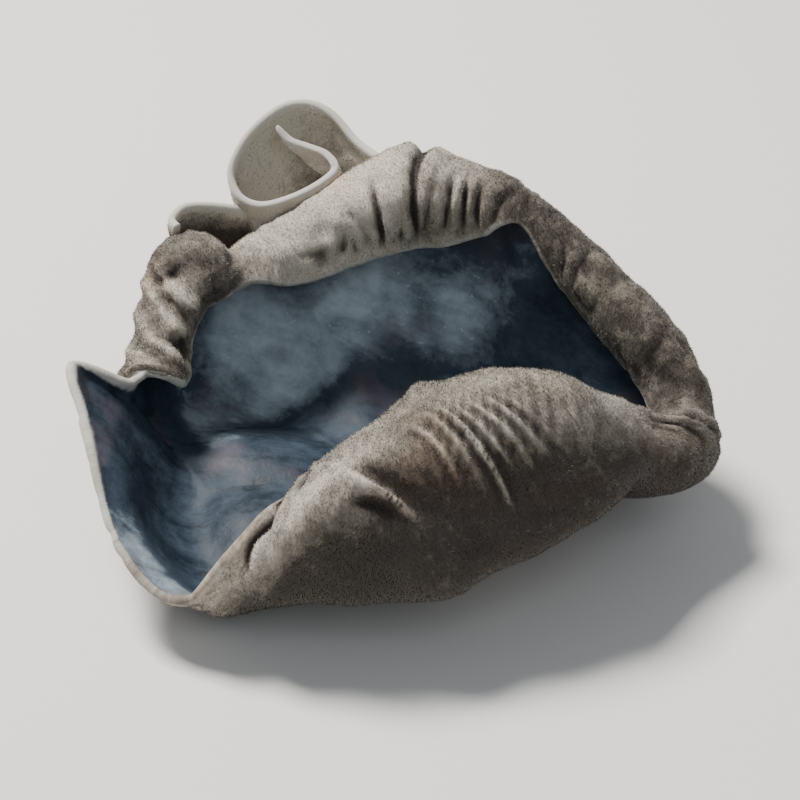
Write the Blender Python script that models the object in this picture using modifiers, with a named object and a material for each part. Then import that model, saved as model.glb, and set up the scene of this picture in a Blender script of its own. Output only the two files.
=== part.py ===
"""One dried wood ear mushroom as a single body.

The cup is an open sheet, given its thickness by Solidify. At every angle
round the cut base the sheet follows a profile: out along the floor, round
the heel, up the wall and over into a rolled rim. Two small lobes behind the
rim are open sheets of their own, and they and the cut stub are joined to the
cup with Booleans. Lengths are in millimetres and angles in degrees until a
mesh is written, which is in metres.
"""

import math

import bpy
import numpy as np

MM = 0.001
OBJECT_NAME = "dried_wood_ear"
NODE_NAME = "wood_ear"

# Colour of the velvety outside, which covers most of what is seen from around
VELVET_COLOUR = (0.27, 0.235, 0.195, 1.0)
VELVET_ROUGHNESS = 0.9
VELVET_METALLIC = 0.0

# How many points the cup has round its rim and from its centre to its rim. A row
# of points is as long as the spacing says, or turns by as much as the bend says.
CUP_ANGLES = 90
CUP_ROWS = 21
ROW_SPACING = 3.2
ROW_BEND = 0.62
PROFILE_STEPS = 600
ANGLE_STEPS = 3600
LINE_STEPS = 40

# The sheet's thickness in the middle and the part of it left at the free edge
SHEET_THICKNESS = 1.1
EDGE_THICKNESS = 0.7
EDGE_TAPER_LENGTH = 4.0

# The flat middle of the sheet and the height it stands at
CENTRE_RADIUS = 3.0
CENTRE_HEIGHT = 1.75
CENTRE_BLEND = 3.0

# No part of the middle surface comes lower than this, which flattens the belly
BELLY_HEIGHT = 0.56
BELLY_SOFTNESS = 0.2

# The cut stub: a short neck that ends in the flat cut face. Its place is counted
# from the middle of the cup, and every mesh is moved so that it is the origin.
# The neck's rings hold their radius and height. The cut has four blunt corners.
STUB_PLACE = (0.4, 2.5, 0.0)
STUB_SIDES = 20
STUB_RINGS = (
    (2.95, 0.5),
    (3.4, 1.6),
)
STUB_LOBES = 5
STUB_LOBE_DEPTH = 0.06
STUB_CUT = (
    (1.9, 2.5),
    (-1.5, 2.7),
    (-3.2, -1.9),
    (2.9, -2.6),
)

# Profiles round the rim. Each row holds the place of the rim's crest (x, y, z),
# the slope of the floor, the length of the heel bend, the lean of the wall, how
# far the rim curls over, the length of that curl and of the flap that ends it.
PROFILES = (
    (18.8, 0.0, 8.8, 6, 4.5, 74, 150, 5.0, 0.3),
    (17.7, 4.2, 11.2, -6, 6.5, 70, 205, 6.6, 1.0),
    (13.9, 8.6, 14.6, 4, 8.0, 67, 215, 7.4, 1.0),
    (9.4, 11.9, 17.8, -4, 8.5, 66, 178, 5.4, 0.2),
    (6.8, 13.4, 18.8, -8, 8.5, 66, 200, 8.4, 1.2),
    (3.2, 14.2, 19.2, 2, 8.5, 66, 206, 9.2, 2.4),
    (-3.2, 14.0, 17.3, 8, 8.5, 66, 204, 9.0, 2.0),
    (-8.6, 13.3, 13.6, -6, 7.0, 68, 180, 7.4, 0.6),
    (-10.6, 12.3, 13.0, -7, 6.5, 68, 170, 5.8, 0.2),
    (-14.0, 10.3, 14.0, 2, 6.0, 68, 200, 6.4, 0.8),
    (-15.6, 5.0, 9.4, 6, 4.5, 70, 176, 4.8, 0.6),
    (-17.0, 3.0, 9.0, 2, 5.0, 66, 40, 2.5, 0.0),
    (-20.4, 1.2, 11.8, -4, 6.5, 60, -6, 2.5, 0.0),
    (-19.6, -2.2, 10.0, -6, 6.0, 62, -14, 3.0, 0.0),
    (-18.7, -6.0, 8.5, -6, 6.0, 60, -18, 3.0, 0.0),
    (-16.6, -10.4, 6.0, -5, 4.5, 52, -14, 2.5, 0.0),
    (-13.6, -13.3, 4.2, -4, 3.0, 38, -4, 1.6, 0.0),
    (-11.9, -13.9, 4.8, 0, 3.6, 48, 20, 2.0, 0.0),
    (-9.6, -13.4, 7.0, 5, 4.0, 64, 40, 3.2, 0.0),
    (-7.4, -12.4, 9.5, 11, 4.2, 82, 74, 4.6, 0.0),
    (-5.0, -11.3, 11.5, 16, 4.4, 94, 116, 5.8, 0.4),
    (-3.2, -10.7, 12.9, 20, 4.5, 102, 130, 6.8, 1.0),
    (0.0, -9.4, 15.4, 23, 4.5, 106, 130, 7.6, 1.0),
    (2.2, -8.5, 16.6, 25, 4.3, 110, 130, 8.0, 1.0),
    (6.3, -7.1, 16.5, 28, 4.0, 118, 130, 8.0, 1.0),
    (9.5, -5.9, 15.1, 30, 3.6, 124, 125, 7.4, 0.8),
    (12.6, -4.5, 12.7, 27, 3.4, 120, 130, 6.4, 0.6),
    (15.8, -3.2, 10.0, 18, 3.8, 98, 124, 5.6, 0.2),
)
CURL_GROWTH = 1.15
FIRST_REACH = 6.0
FIRST_WALL = 3.0
SHORTEST_REACH = 0.5
SHORTEST_WALL = 0.1

# Spans of angle that need closer points: centre, half width, softness, gain
DENSE_SPANS = (
    (234.0, 8.0, 10.0, 1.6),
    (172.0, 8.0, 10.0, 0.9),
    (140.0, 12.0, 10.0, 0.4),
)

# The floor stands up along a crease that drops to a gutter beside the low front
# lip: where the crease starts, its heading, its length and how the floor falls
SHELF_HEIGHT = 1.5
SHELF_START = (-14.9, 6.6)
SHELF_HEADING = (0.464, -0.886)
SHELF_LENGTH = 11.0
SHELF_FADE = 5.5
SHELF_DROP = 4.8
SHELF_SLOPE = 13.0
SHELF_LEAD = 1.8

# Pleats that run out from the cut base over the floor. Each row holds how many
# there are round the cup, their share of the height, their sway and their turn.
PLEAT_HEIGHT = 0.3
PLEAT_SWAY_LENGTH = 2.4
PLEAT_SLANT = 0.03
PLEAT_START = 4.0
PLEATS = (
    (9.0, 0.6, 1.6, 0.6),
    (14.0, 0.4, 2.4, 2.0),
)

# Folds are added up from this many plane waves each, drawn from fixed seeds
WAVE_COUNT = 12
SWAY_SEED = 3
LUMP_SEED = 11
CRUMPLE_SEED = 5
CRIMP_SEED = 8

# Heights and lengths of the lumps and of the rim's crimps and crumples
LUMP_HEIGHT = 0.34
LUMP_LENGTH = 17.0
LUMP_START = 5.0
CRIMP_HEIGHT = 0.36
CRIMP_LENGTH = 6.4
CRIMP_RADIUS = 15.0
CRUMPLE_HEIGHT = 0.55
CRUMPLE_LENGTH = 6.5
ROLL_BLEND = 1.5

# The front wall's lap: the line it folds over and how it falls on either side.
# The line starts at the crest, this share of the way along the rolled part.
LAP_CREST = 0.4
LAP_HEIGHT = 0.95
LAP_ANGLE = 252.0
LAP_SLANT = 3.4
LAP_STEEP_SIDE = 6.0
LAP_FLAT_SIDE = 22.0
LAP_LENGTH = 8.5
LAP_END = 4.0

# The strip along the free edge where the folds come down to half their height
CALM_EDGE = 2.0

# Where the rim is crumpled: centre angle, half width, softness, share
CRUMPLED_SPANS = (
    (150.0, 12.0, 9.0, 1.0),
    (356.0, 10.0, 9.0, 0.8),
)

# The curled lobe behind the rim: its edge, the point it narrows down to and
# the point its sides swell round
CURL_EDGE = (
    (-0.7, 15.6, 18.6),
    (-2.5, 17.4, 19.1),
    (-4.2, 18.8, 20.5),
    (-5.9, 19.3, 21.1),
    (-7.8, 18.9, 20.9),
    (-9.9, 17.9, 19.4),
    (-11.1, 16.8, 17.3),
    (-10.6, 15.6, 16.0),
    (-9.1, 15.0, 15.6),
    (-7.0, 14.8, 16.3),
    (-5.0, 14.9, 17.4),
    (-4.0, 15.6, 18.1),
    (-4.6, 16.5, 18.7),
    (-5.9, 16.9, 19.1),
    (-7.0, 17.0, 19.5),
    (-7.8, 17.2, 20.2),
)
CURL_ROOT = (-4.9, 14.9, 9.6)
CURL_SWELL = (-5.6, 17.6, 13.6)
CURL_ROOT_SCALE = 0.2
CURL_UNROLLED = 0.42
CURL_FINE_STEPS = 400
CURL_STEPS = 30
CURL_ROWS = 7

# The frill: a low narrow lobe to the left of the curl
FRILL_EDGE = (
    (-14.5, 12.0, 15.6),
    (-14.9, 12.8, 15.7),
    (-14.2, 13.7, 16.1),
    (-12.8, 14.7, 15.7),
    (-11.0, 15.4, 15.1),
    (-9.2, 16.0, 14.4),
    (-7.4, 16.4, 14.1),
)
FRILL_FOOT = (
    (-14.6, 11.6, 12.6),
    (-14.6, 11.9, 12.0),
    (-14.0, 12.3, 11.4),
    (-12.6, 13.2, 11.0),
    (-11.0, 14.1, 11.0),
    (-9.3, 15.2, 11.3),
    (-7.6, 15.8, 12.2),
)
FRILL_BULGE = (-0.2, 0.6, 0.0)
FRILL_STEPS = 11
FRILL_ROWS = 3
LOBE_THICKNESS = 0.8


def ease(share):
    """0 below 0, 1 above 1 and a smooth step between."""
    share = np.clip(share, 0.0, 1.0)
    return share * share * (3.0 - 2.0 * share)


def near(angle, centre, half, soft):
    """1 within half of the centre angle, falling to 0 over soft more."""
    distance = np.abs((angle - centre + 180.0) % 360.0 - 180.0)
    return 1.0 - ease((distance - half) / soft)


def waves(points, length, seed):
    """Smooth lumps about as wide as length: plane waves added up."""
    chance = np.random.default_rng(seed)
    headings = chance.normal(size=(WAVE_COUNT, 3))
    headings /= np.linalg.norm(headings, axis=1, keepdims=True)
    phases = chance.uniform(0.0, 2.0 * math.pi, WAVE_COUNT)
    turns = points @ headings.T * (2.0 * math.pi / length) + phases
    return np.sin(turns).sum(axis=-1) / math.sqrt(WAVE_COUNT)


def around(known_angles, known_values, angles):
    """A curve through known values round the circle that doesn't overshoot."""
    x = np.concatenate([known_angles - 360.0, known_angles, known_angles + 360.0])
    y = np.concatenate([known_values] * 3)
    step = np.diff(x)
    slope = np.diff(y) / step
    before, after = slope[:-1], slope[1:]
    rising = before * after > 0.0
    weight_before = 2.0 * step[1:] + step[:-1]
    weight_after = step[1:] + 2.0 * step[:-1]
    safe_before = np.where(rising, before, 1.0)
    safe_after = np.where(rising, after, 1.0)
    mean = (weight_before + weight_after) / (
        weight_before / safe_before + weight_after / safe_after
    )
    tangent = np.zeros_like(y)
    tangent[1:-1] = np.where(rising, mean, 0.0)
    at = np.mod(angles, 360.0)
    i = np.clip(np.searchsorted(x, at, side="right") - 1, 0, len(step) - 1)
    t = (at - x[i]) / step[i]
    start = (1.0 + 2.0 * t) * (1.0 - t) ** 2 * y[i]
    start += t * (1.0 - t) ** 2 * step[i] * tangent[i]
    end = t * t * (3.0 - 2.0 * t) * y[i + 1]
    end += t * t * (t - 1.0) * step[i] * tangent[i + 1]
    return start + end


def station_table():
    """The profiles with each crest as an angle and a distance, by angle."""
    rows = np.array(PROFILES, float)
    angle = np.degrees(np.arctan2(rows[:, 1], rows[:, 0])) % 360.0
    distance = np.hypot(rows[:, 0], rows[:, 1])
    table = np.column_stack([angle, distance, rows[:, 2:]])
    return table[np.argsort(angle)]


def draw_profiles(shape, reach, wall):
    """Distance and height along every profile, and the length run so far."""
    dish, heel, lean, curl, roll, flap = shape
    total = reach + heel + wall + roll + flap
    run = np.linspace(0.0, 1.0, PROFILE_STEPS + 1)[None, :] * total
    slope = dish * ease(run / CENTRE_BLEND)
    slope = slope + (lean - dish) * ease((run - reach) / heel)
    rolled = np.clip((run - reach - heel - wall) / roll, 0.0, 1.0)
    slope = np.radians(slope + curl * rolled**CURL_GROWTH)
    step = total / PROFILE_STEPS
    sideways = np.cos(slope)
    upwards = np.sin(slope)
    start = np.zeros_like(sideways[:, :1])
    out = np.cumsum((sideways[:, 1:] + sideways[:, :-1]) / 2.0 * step, axis=1)
    up = np.cumsum((upwards[:, 1:] + upwards[:, :-1]) / 2.0 * step, axis=1)
    distance = CENTRE_RADIUS + np.concatenate([start, out], axis=1)
    height = CENTRE_HEIGHT + np.concatenate([start, up], axis=1)
    return distance, height, run, total


def solve_profiles(angles):
    """Shape of each profile, and the reach and wall that bring its crest home."""
    table = station_table()
    columns = [around(table[:, 0], table[:, k], angles)[:, None] for k in range(1, 9)]
    crest_distance, crest_height = columns[:2]
    shape = columns[2:]
    dish, lean = np.radians(shape[0]), np.radians(shape[2])
    reach = np.full_like(crest_distance, FIRST_REACH)
    wall = np.full_like(crest_distance, FIRST_WALL)
    distance, height, _, _ = draw_profiles(shape, reach, wall)
    top = np.argmax(height, axis=1)[:, None]
    off_distance = crest_distance - np.take_along_axis(distance, top, axis=1)
    off_height = crest_height - np.take_along_axis(height, top, axis=1)
    turn = np.sin(lean - dish)
    reach = reach + (off_distance * np.sin(lean) - off_height * np.cos(lean)) / turn
    wall = wall + (off_height * np.cos(dish) - off_distance * np.sin(dish)) / turn
    return shape, np.maximum(reach, SHORTEST_REACH), np.maximum(wall, SHORTEST_WALL)


def spread_angles(count):
    """Angles round the rim, closer together in the dense spans."""
    fine = np.linspace(0.0, 360.0, ANGLE_STEPS + 1)
    density = np.ones_like(fine)
    for centre, half, soft, gain in DENSE_SPANS:
        density += gain * near(fine, centre, half, soft)
    share = np.concatenate([[0.0], np.cumsum((density[1:] + density[:-1]) / 2.0)])
    return np.interp(np.arange(count) / count, share / share[-1], fine)


def spread_rows(distance, height, run, rows):
    """Places along each profile, closer together where it bends."""
    rise = np.gradient(height, axis=1)
    slope = np.unwrap(np.arctan2(rise, np.gradient(distance, axis=1)), axis=1)
    bend = np.abs(np.gradient(slope, axis=1))
    effort = np.gradient(run, axis=1) / ROW_SPACING + bend / ROW_BEND
    share = np.cumsum(effort, axis=1)
    share = (share - share[:, :1]) / (share[:, -1:] - share[:, :1])
    wanted = np.linspace(0.0, 1.0, rows + 1)
    picked = []
    for k in range(len(run)):
        picked.append(np.interp(wanted, share[k], run[k]))
    return np.array(picked)


def grid_normals(grid, closed):
    """Unit normals of a grid of points, closed round its first axis or not."""
    if closed:
        along = np.roll(grid, -1, axis=0) - np.roll(grid, 1, axis=0)
    else:
        along = np.gradient(grid, axis=0)
    normal = np.cross(along, np.gradient(grid, axis=1))
    return normal / np.maximum(np.linalg.norm(normal, axis=-1, keepdims=True), 1e-9)


def fold_heights(points, angle, run, total, shape, reach, wall):
    """How far the sheet stands off its plain profiles, outwards."""
    _, heel, _, _, roll, _ = shape
    turn = np.radians(angle)
    ring = np.stack([np.cos(turn), np.sin(turn), run * PLEAT_SLANT], axis=-1)
    rolled = ease((run - reach - heel - wall / 2.0) / (wall / 2.0 + ROLL_BLEND))
    # Pleats run out from the cut base and end where the wall rises
    on_floor = 1.0 - ease((run - reach - heel / 2.0) / (heel + wall))
    on_floor = on_floor * ease(run / PLEAT_START)
    sway = waves(ring, PLEAT_SWAY_LENGTH, SWAY_SEED)
    height = np.zeros_like(angle)
    for count, share, swayed, turned in PLEATS:
        pleat = share * np.sin(count * turn + swayed * sway + turned)
        height = height + PLEAT_HEIGHT * on_floor * pleat
    # Lumps lie all over the body
    body = ease(run / LUMP_START)
    height = height + LUMP_HEIGHT * body * waves(points, LUMP_LENGTH, LUMP_SEED)
    # Crumpled stretches of the rim, and crimps across the rest of it
    crumpled = np.zeros_like(angle)
    for centre, half, soft, share in CRUMPLED_SPANS:
        crumpled = crumpled + share * near(angle, centre, half, soft)
    crumpled = crumpled * rolled
    crumples = waves(points, CRUMPLE_LENGTH, CRUMPLE_SEED)
    height = height + CRUMPLE_HEIGHT * crumpled * crumples
    crimps = waves(ring * CRIMP_RADIUS, CRIMP_LENGTH, CRIMP_SEED)
    height = height + CRIMP_HEIGHT * rolled * (1.0 - crumpled) * crimps
    # The front wall laps over itself along a line that slants down from the crest
    under_crest = reach + heel + wall + LAP_CREST * roll - run
    line = angle - LAP_ANGLE - under_crest * LAP_SLANT
    lap = np.where(line > 0.0, 1.0 - line / LAP_STEEP_SIDE, 1.0 + line / LAP_FLAT_SIDE)
    lap = np.clip(lap, 0.0, 1.0) * (1.0 - ease(under_crest / LAP_LENGTH))
    height = height + LAP_HEIGHT * lap * ease((total - run - CALM_EDGE) / LAP_END)
    # The floor stands up beside the gutter
    along, across = SHELF_HEADING, (-SHELF_HEADING[1], SHELF_HEADING[0])
    east, north = points[..., 0] - SHELF_START[0], points[..., 1] - SHELF_START[1]
    down_line = east * along[0] + north * along[1]
    off_line = east * across[0] + north * across[1]
    shelf = ease(1.0 + off_line / SHELF_DROP) * (1.0 - ease(off_line / SHELF_SLOPE))
    shelf = shelf * ease(down_line / SHELF_FADE)
    shelf = shelf * (1.0 - ease((down_line - SHELF_LENGTH) / SHELF_FADE))
    shelf = shelf * (1.0 - ease((run - reach + SHELF_LEAD) / heel))
    height = height - SHELF_HEIGHT * shelf
    return height * (1.0 - ease(1.0 - (total - run) / CALM_EDGE) / 2.0)


def cup_sheet():
    """The cup's middle surface as a grid, and how far each point is from the rim."""
    angles = spread_angles(CUP_ANGLES)
    shape, reach, wall = solve_profiles(angles)
    distance, height, run, total = draw_profiles(shape, reach, wall)
    turn = np.radians(angles)[:, None]
    points = np.stack(
        [distance * np.cos(turn), distance * np.sin(turn), height], axis=-1
    )
    angle = angles[:, None] + np.zeros_like(run)
    folds = fold_heights(points, angle, run, total, shape, reach, wall)
    points = points + grid_normals(points, closed=True) * folds[..., None]
    over = points[..., 2] - BELLY_HEIGHT
    points[..., 2] = BELLY_HEIGHT + (over + np.sqrt(over**2 + BELLY_SOFTNESS**2)) / 2.0
    rows = spread_rows(distance, height, run, CUP_ROWS)
    picked = np.empty((len(angles), CUP_ROWS + 1, 3))
    for k in range(len(angles)):
        for axis in range(3):
            picked[k, :, axis] = np.interp(rows[k], run[k], points[k, :, axis])
    return picked, total - rows


def smooth_line(knots, count):
    """Evenly spaced points on a smooth line through the knots."""
    knots = np.array(knots, float)
    knots = np.vstack([2 * knots[0] - knots[1], knots, 2 * knots[-1] - knots[-2]])
    pieces = []
    share = np.linspace(0.0, 1.0, LINE_STEPS, endpoint=False)[:, None]
    for k in range(1, len(knots) - 2):
        a, b, c, d = knots[k - 1 : k + 3]
        bend = 2 * a - 5 * b + 4 * c - d
        twist = 3 * b - a - 3 * c + d
        pieces.append(
            b + (c - a) / 2 * share + bend / 2 * share**2 + twist / 2 * share**3
        )
    line = np.vstack(pieces + [knots[-2:-1]])
    run = np.concatenate([[0.0], np.cumsum(np.linalg.norm(np.diff(line, axis=0), axis=1))])
    wanted = np.linspace(0.0, run[-1], count)
    return np.stack([np.interp(wanted, run, line[:, k]) for k in range(3)], axis=-1)


def bowed_sheet(foot, swell, edge, rows):
    """A grid of points from the foot line, past the swell line, to the edge."""
    share = np.linspace(0.0, 1.0, rows + 1)[None, :, None]
    from_foot = (1.0 - share) ** 2 * foot[:, None]
    past_swell = 2.0 * share * (1.0 - share) * swell[:, None]
    return from_foot + past_swell + share**2 * edge[:, None]


def curl_sheet():
    """The curled lobe: a spiral edge that narrows and unrolls down to a root."""
    edge = smooth_line(CURL_EDGE, CURL_FINE_STEPS)
    spread = edge - edge.mean(axis=0)
    foot = np.array(CURL_ROOT) + spread * CURL_ROOT_SCALE
    swell = np.array(CURL_SWELL) + spread
    fine = bowed_sheet(foot, swell, edge, CURL_ROWS)
    share = np.linspace(0.0, 1.0, CURL_ROWS + 1)
    rolled = CURL_UNROLLED + (1.0 - CURL_UNROLLED) * share
    wanted = np.linspace(0.0, 1.0, CURL_STEPS + 1)
    known = np.linspace(0.0, 1.0, len(edge))
    grid = np.empty((CURL_STEPS + 1, CURL_ROWS + 1, 3))
    for row in range(CURL_ROWS + 1):
        for axis in range(3):
            at = wanted * rolled[row]
            grid[:, row, axis] = np.interp(at, known, fine[:, row, axis])
    return grid


def frill_sheet():
    """The frill: a low sheet whose foot lies in the cup's wall."""
    edge = smooth_line(FRILL_EDGE, FRILL_STEPS + 1)
    foot = smooth_line(FRILL_FOOT, FRILL_STEPS + 1)
    swell = (foot + edge) / 2.0 + np.array(FRILL_BULGE)
    return bowed_sheet(foot, swell, edge, FRILL_ROWS)


def link_mesh(name, points, faces):
    """A new object from points in millimetres."""
    mesh = bpy.data.meshes.new(name)
    placed = (points - np.array(STUB_PLACE)) * MM
    mesh.from_pydata(placed.tolist(), [], faces)
    mesh.shade_smooth()
    part = bpy.data.objects.new(name, mesh)
    bpy.context.scene.collection.objects.link(part)
    return part


def grid_faces(angles, rows, closed):
    """Four-sided faces between neighbouring points of a grid."""
    faces = []
    last = angles if closed else angles - 1
    for i in range(last):
        here, there = i * rows, (i + 1) % angles * rows
        for j in range(rows - 1):
            faces.append((here + j, there + j, there + j + 1, here + j + 1))
    return faces


def thicken(part, thickness, from_edge):
    """Gives an open sheet its thickness, thinner towards its free edge."""
    taper = EDGE_THICKNESS / SHEET_THICKNESS
    share = taper + (1.0 - taper) * ease(from_edge / EDGE_TAPER_LENGTH)
    group = part.vertex_groups.new(name="thickness")
    for index, weight in enumerate(share):
        group.add([index], float(weight), "REPLACE")
    solidify = part.modifiers.new("thickness", "SOLIDIFY")
    solidify.thickness = thickness * MM
    solidify.offset = 0.0
    solidify.vertex_group = group.name
    return part


def build_cup():
    """The cup with its rolled rim and its flat middle."""
    grid, from_edge = cup_sheet()
    angles, rows = grid.shape[:2]
    points = np.vstack([grid.reshape(-1, 3), [[0.0, 0.0, CENTRE_HEIGHT]]])
    faces = grid_faces(angles, rows, closed=True)
    centre = angles * rows
    for i in range(angles):
        faces.append((centre, (i + 1) % angles * rows, i * rows))
    cup = link_mesh(NODE_NAME, points, faces)
    from_edge = np.append(from_edge.ravel(), EDGE_TAPER_LENGTH)
    return thicken(cup, SHEET_THICKNESS, from_edge)


def build_lobe(name, grid):
    """A small lobe behind the rim as an open sheet with a thickness."""
    length = np.linalg.norm(np.diff(grid, axis=1), axis=-1)
    to_edge = np.cumsum(length[:, ::-1], axis=1)[:, ::-1]
    from_edge = np.concatenate([to_edge, np.zeros((len(grid), 1))], axis=1)
    faces = grid_faces(grid.shape[0], grid.shape[1], closed=False)
    lobe = link_mesh(name, grid.reshape(-1, 3), faces)
    return thicken(lobe, LOBE_THICKNESS, from_edge.ravel())


def build_stub():
    """The cut stub: a neck with a wavy outline that ends in a flat cut."""
    turn = np.arange(STUB_SIDES) * 2.0 * math.pi / STUB_SIDES
    wavy = 1.0 + STUB_LOBE_DEPTH * np.sin(STUB_LOBES * turn + 1.0)
    outline = np.stack([wavy * np.cos(turn), wavy * np.sin(turn), 0.0 * turn], axis=-1)
    corners = len(STUB_CUT)
    points = [np.column_stack([STUB_CUT, np.zeros(corners)])]
    for radius, height in STUB_RINGS:
        points.append(outline * radius + np.array([0.0, 0.0, height]))
    # The sides of the neck, between its two rings
    low, high = corners, corners + STUB_SIDES
    faces = [tuple(range(corners))[::-1], tuple(range(high, high + STUB_SIDES))]
    for k in range(STUB_SIDES):
        following = (k + 1) % STUB_SIDES
        faces.append((low + k, low + following, high + following, high + k))
    # Each corner of the cut fans out to the points of the ring that are nearest it
    split = []
    for k in range(corners):
        before = np.array(STUB_CUT[k - 1]) + np.array(STUB_CUT[k])
        share = math.atan2(before[1], before[0]) / (2.0 * math.pi)
        split.append(round(share * STUB_SIDES) % STUB_SIDES)
    for k in range(corners):
        first, last = split[k], split[(k + 1) % corners]
        for step in range((last - first) % STUB_SIDES):
            here = (first + step) % STUB_SIDES
            faces.append((k, low + (here + 1) % STUB_SIDES, low + here))
        faces.append((k, (k + 1) % corners, low + last))
    return link_mesh("stub", np.vstack(points) + np.array(STUB_PLACE), faces)


def join(body, other):
    """Fuses another solid into the body and hides what it was made from."""
    other.hide_render = True
    other.display_type = "WIRE"
    union = body.modifiers.new(other.name, "BOOLEAN")
    union.operation = "UNION"
    union.solver = "EXACT"
    union.object = other


def velvet_material():
    """The velvety outside of the dried ear."""
    material = bpy.data.materials.new("dried_velvet")
    material.use_nodes = True
    shader = material.node_tree.nodes["Principled BSDF"]
    shader.inputs["Base Color"].default_value = VELVET_COLOUR
    shader.inputs["Roughness"].default_value = VELVET_ROUGHNESS
    shader.inputs["Metallic"].default_value = VELVET_METALLIC
    return material


def main():
    for old in list(bpy.data.objects):
        bpy.data.objects.remove(old, do_unlink=True)
    body = build_cup()
    join(body, build_lobe("curl", curl_sheet()))
    join(body, build_lobe("frill", frill_sheet()))
    join(body, build_stub())
    body.data.materials.append(velvet_material())
    collection = bpy.data.collections.new(OBJECT_NAME)
    bpy.context.scene.collection.children.link(collection)
    for part in list(bpy.context.scene.collection.objects):
        bpy.context.scene.collection.objects.unlink(part)
        collection.objects.link(part)


main()
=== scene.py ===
"""Look of one dried wood ear mushroom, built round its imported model.

The ear is one closed skin. At every angle round the cut base a profile runs
out along the floor, round the heel, up the wall and over into the rolled rim.
Folds move both faces of the sheet, and each face then gets its own wrinkles.
Two small lobes stand behind the rim, and short nap covers the velvety side.
Lengths in the shape functions are in millimetres and angles in degrees.
"""

import logging
import math
from dataclasses import dataclass
from enum import Enum

import bpy
import numpy as np
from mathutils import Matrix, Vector


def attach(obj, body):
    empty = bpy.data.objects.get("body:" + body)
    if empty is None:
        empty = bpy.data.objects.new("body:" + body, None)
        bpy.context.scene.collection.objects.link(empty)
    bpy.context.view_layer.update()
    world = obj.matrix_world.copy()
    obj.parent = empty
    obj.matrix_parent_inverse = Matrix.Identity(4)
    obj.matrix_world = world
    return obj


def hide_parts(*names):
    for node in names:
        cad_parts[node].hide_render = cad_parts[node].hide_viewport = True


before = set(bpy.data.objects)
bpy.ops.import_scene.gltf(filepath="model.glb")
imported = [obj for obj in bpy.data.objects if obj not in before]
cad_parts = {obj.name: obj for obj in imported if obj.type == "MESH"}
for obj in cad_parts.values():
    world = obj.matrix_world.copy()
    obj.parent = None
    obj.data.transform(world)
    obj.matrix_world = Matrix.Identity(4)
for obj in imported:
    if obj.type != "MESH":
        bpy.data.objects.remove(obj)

Array = np.ndarray
Colour = tuple[float, float, float]

log = logging.getLogger("wood_ear")
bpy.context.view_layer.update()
MM = 0.001
NODE = "wood_ear"
BODY = "root"

# How far velvety faces lie under the solid's surface, which the nap's tips reach
NAP_DEPTH = 0.08

# The stub's place under the cup: every piece is moved so that it is the origin
STUB_PLACE = (0.4, 2.5, 0.0)


class Side(Enum):
    """The two faces of the sheet, as the value of the side attribute."""

    HOLLOW = 0.0
    VELVET = 1.0


# Profiles round the rim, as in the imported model. Each row holds the place of the
# rim's crest (x, y, z), the slope of the floor, the length of the heel bend, the
# lean of the wall, how far the rim curls over, the length of that curl and of
# the flap that ends it.
PROFILES = (
    (18.8, 0.0, 8.8, 6, 4.5, 74, 150, 5.0, 0.3),
    (17.7, 4.2, 11.2, -6, 6.5, 70, 205, 6.6, 1.0),
    (13.9, 8.6, 14.6, 4, 8.0, 67, 215, 7.4, 1.0),
    (9.4, 11.9, 17.8, -4, 8.5, 66, 178, 5.4, 0.2),
    (6.8, 13.4, 18.8, -8, 8.5, 66, 200, 8.4, 1.2),
    (3.2, 14.2, 19.2, 2, 8.5, 66, 206, 9.2, 2.4),
    (-3.2, 14.0, 17.3, 8, 8.5, 66, 204, 9.0, 2.0),
    (-8.6, 13.3, 13.6, -6, 7.0, 68, 180, 7.4, 0.6),
    (-10.6, 12.3, 13.0, -7, 6.5, 68, 170, 5.8, 0.2),
    (-14.0, 10.3, 14.0, 2, 6.0, 68, 200, 6.4, 0.8),
    (-15.6, 5.0, 9.4, 6, 4.5, 70, 176, 4.8, 0.6),
    (-17.0, 3.0, 9.0, 2, 5.0, 66, 40, 2.5, 0.0),
    (-20.4, 1.2, 11.8, -4, 6.5, 60, -6, 2.5, 0.0),
    (-19.6, -2.2, 10.0, -6, 6.0, 62, -14, 3.0, 0.0),
    (-18.7, -6.0, 8.5, -6, 6.0, 60, -18, 3.0, 0.0),
    (-16.6, -10.4, 6.0, -5, 4.5, 52, -14, 2.5, 0.0),
    (-13.6, -13.3, 4.2, -4, 3.0, 38, -4, 1.6, 0.0),
    (-11.9, -13.9, 4.8, 0, 3.6, 48, 20, 2.0, 0.0),
    (-9.6, -13.4, 7.0, 5, 4.0, 64, 40, 3.2, 0.0),
    (-7.4, -12.4, 9.5, 11, 4.2, 82, 74, 4.6, 0.0),
    (-5.0, -11.3, 11.5, 16, 4.4, 94, 116, 5.8, 0.4),
    (-3.2, -10.7, 12.9, 20, 4.5, 102, 130, 6.8, 1.0),
    (0.0, -9.4, 15.4, 23, 4.5, 106, 130, 7.6, 1.0),
    (2.2, -8.5, 16.6, 25, 4.3, 110, 130, 8.0, 1.0),
    (6.3, -7.1, 16.5, 28, 4.0, 118, 130, 8.0, 1.0),
    (9.5, -5.9, 15.1, 30, 3.6, 124, 125, 7.4, 0.8),
    (12.6, -4.5, 12.7, 27, 3.4, 120, 130, 6.4, 0.6),
    (15.8, -3.2, 10.0, 18, 3.8, 98, 124, 5.6, 0.2),
)

# Pleats of the floor: how many round the cup, share of the height, sway, turn
PLEATS = ((9.0, 0.6, 1.6, 0.6), (14.0, 0.4, 2.4, 2.0))

# Where the rim is crumpled: centre angle, half width, softness, share
CRUMPLED_SPANS = ((150.0, 12.0, 9.0, 1.0), (356.0, 10.0, 9.0, 0.8))

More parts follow.
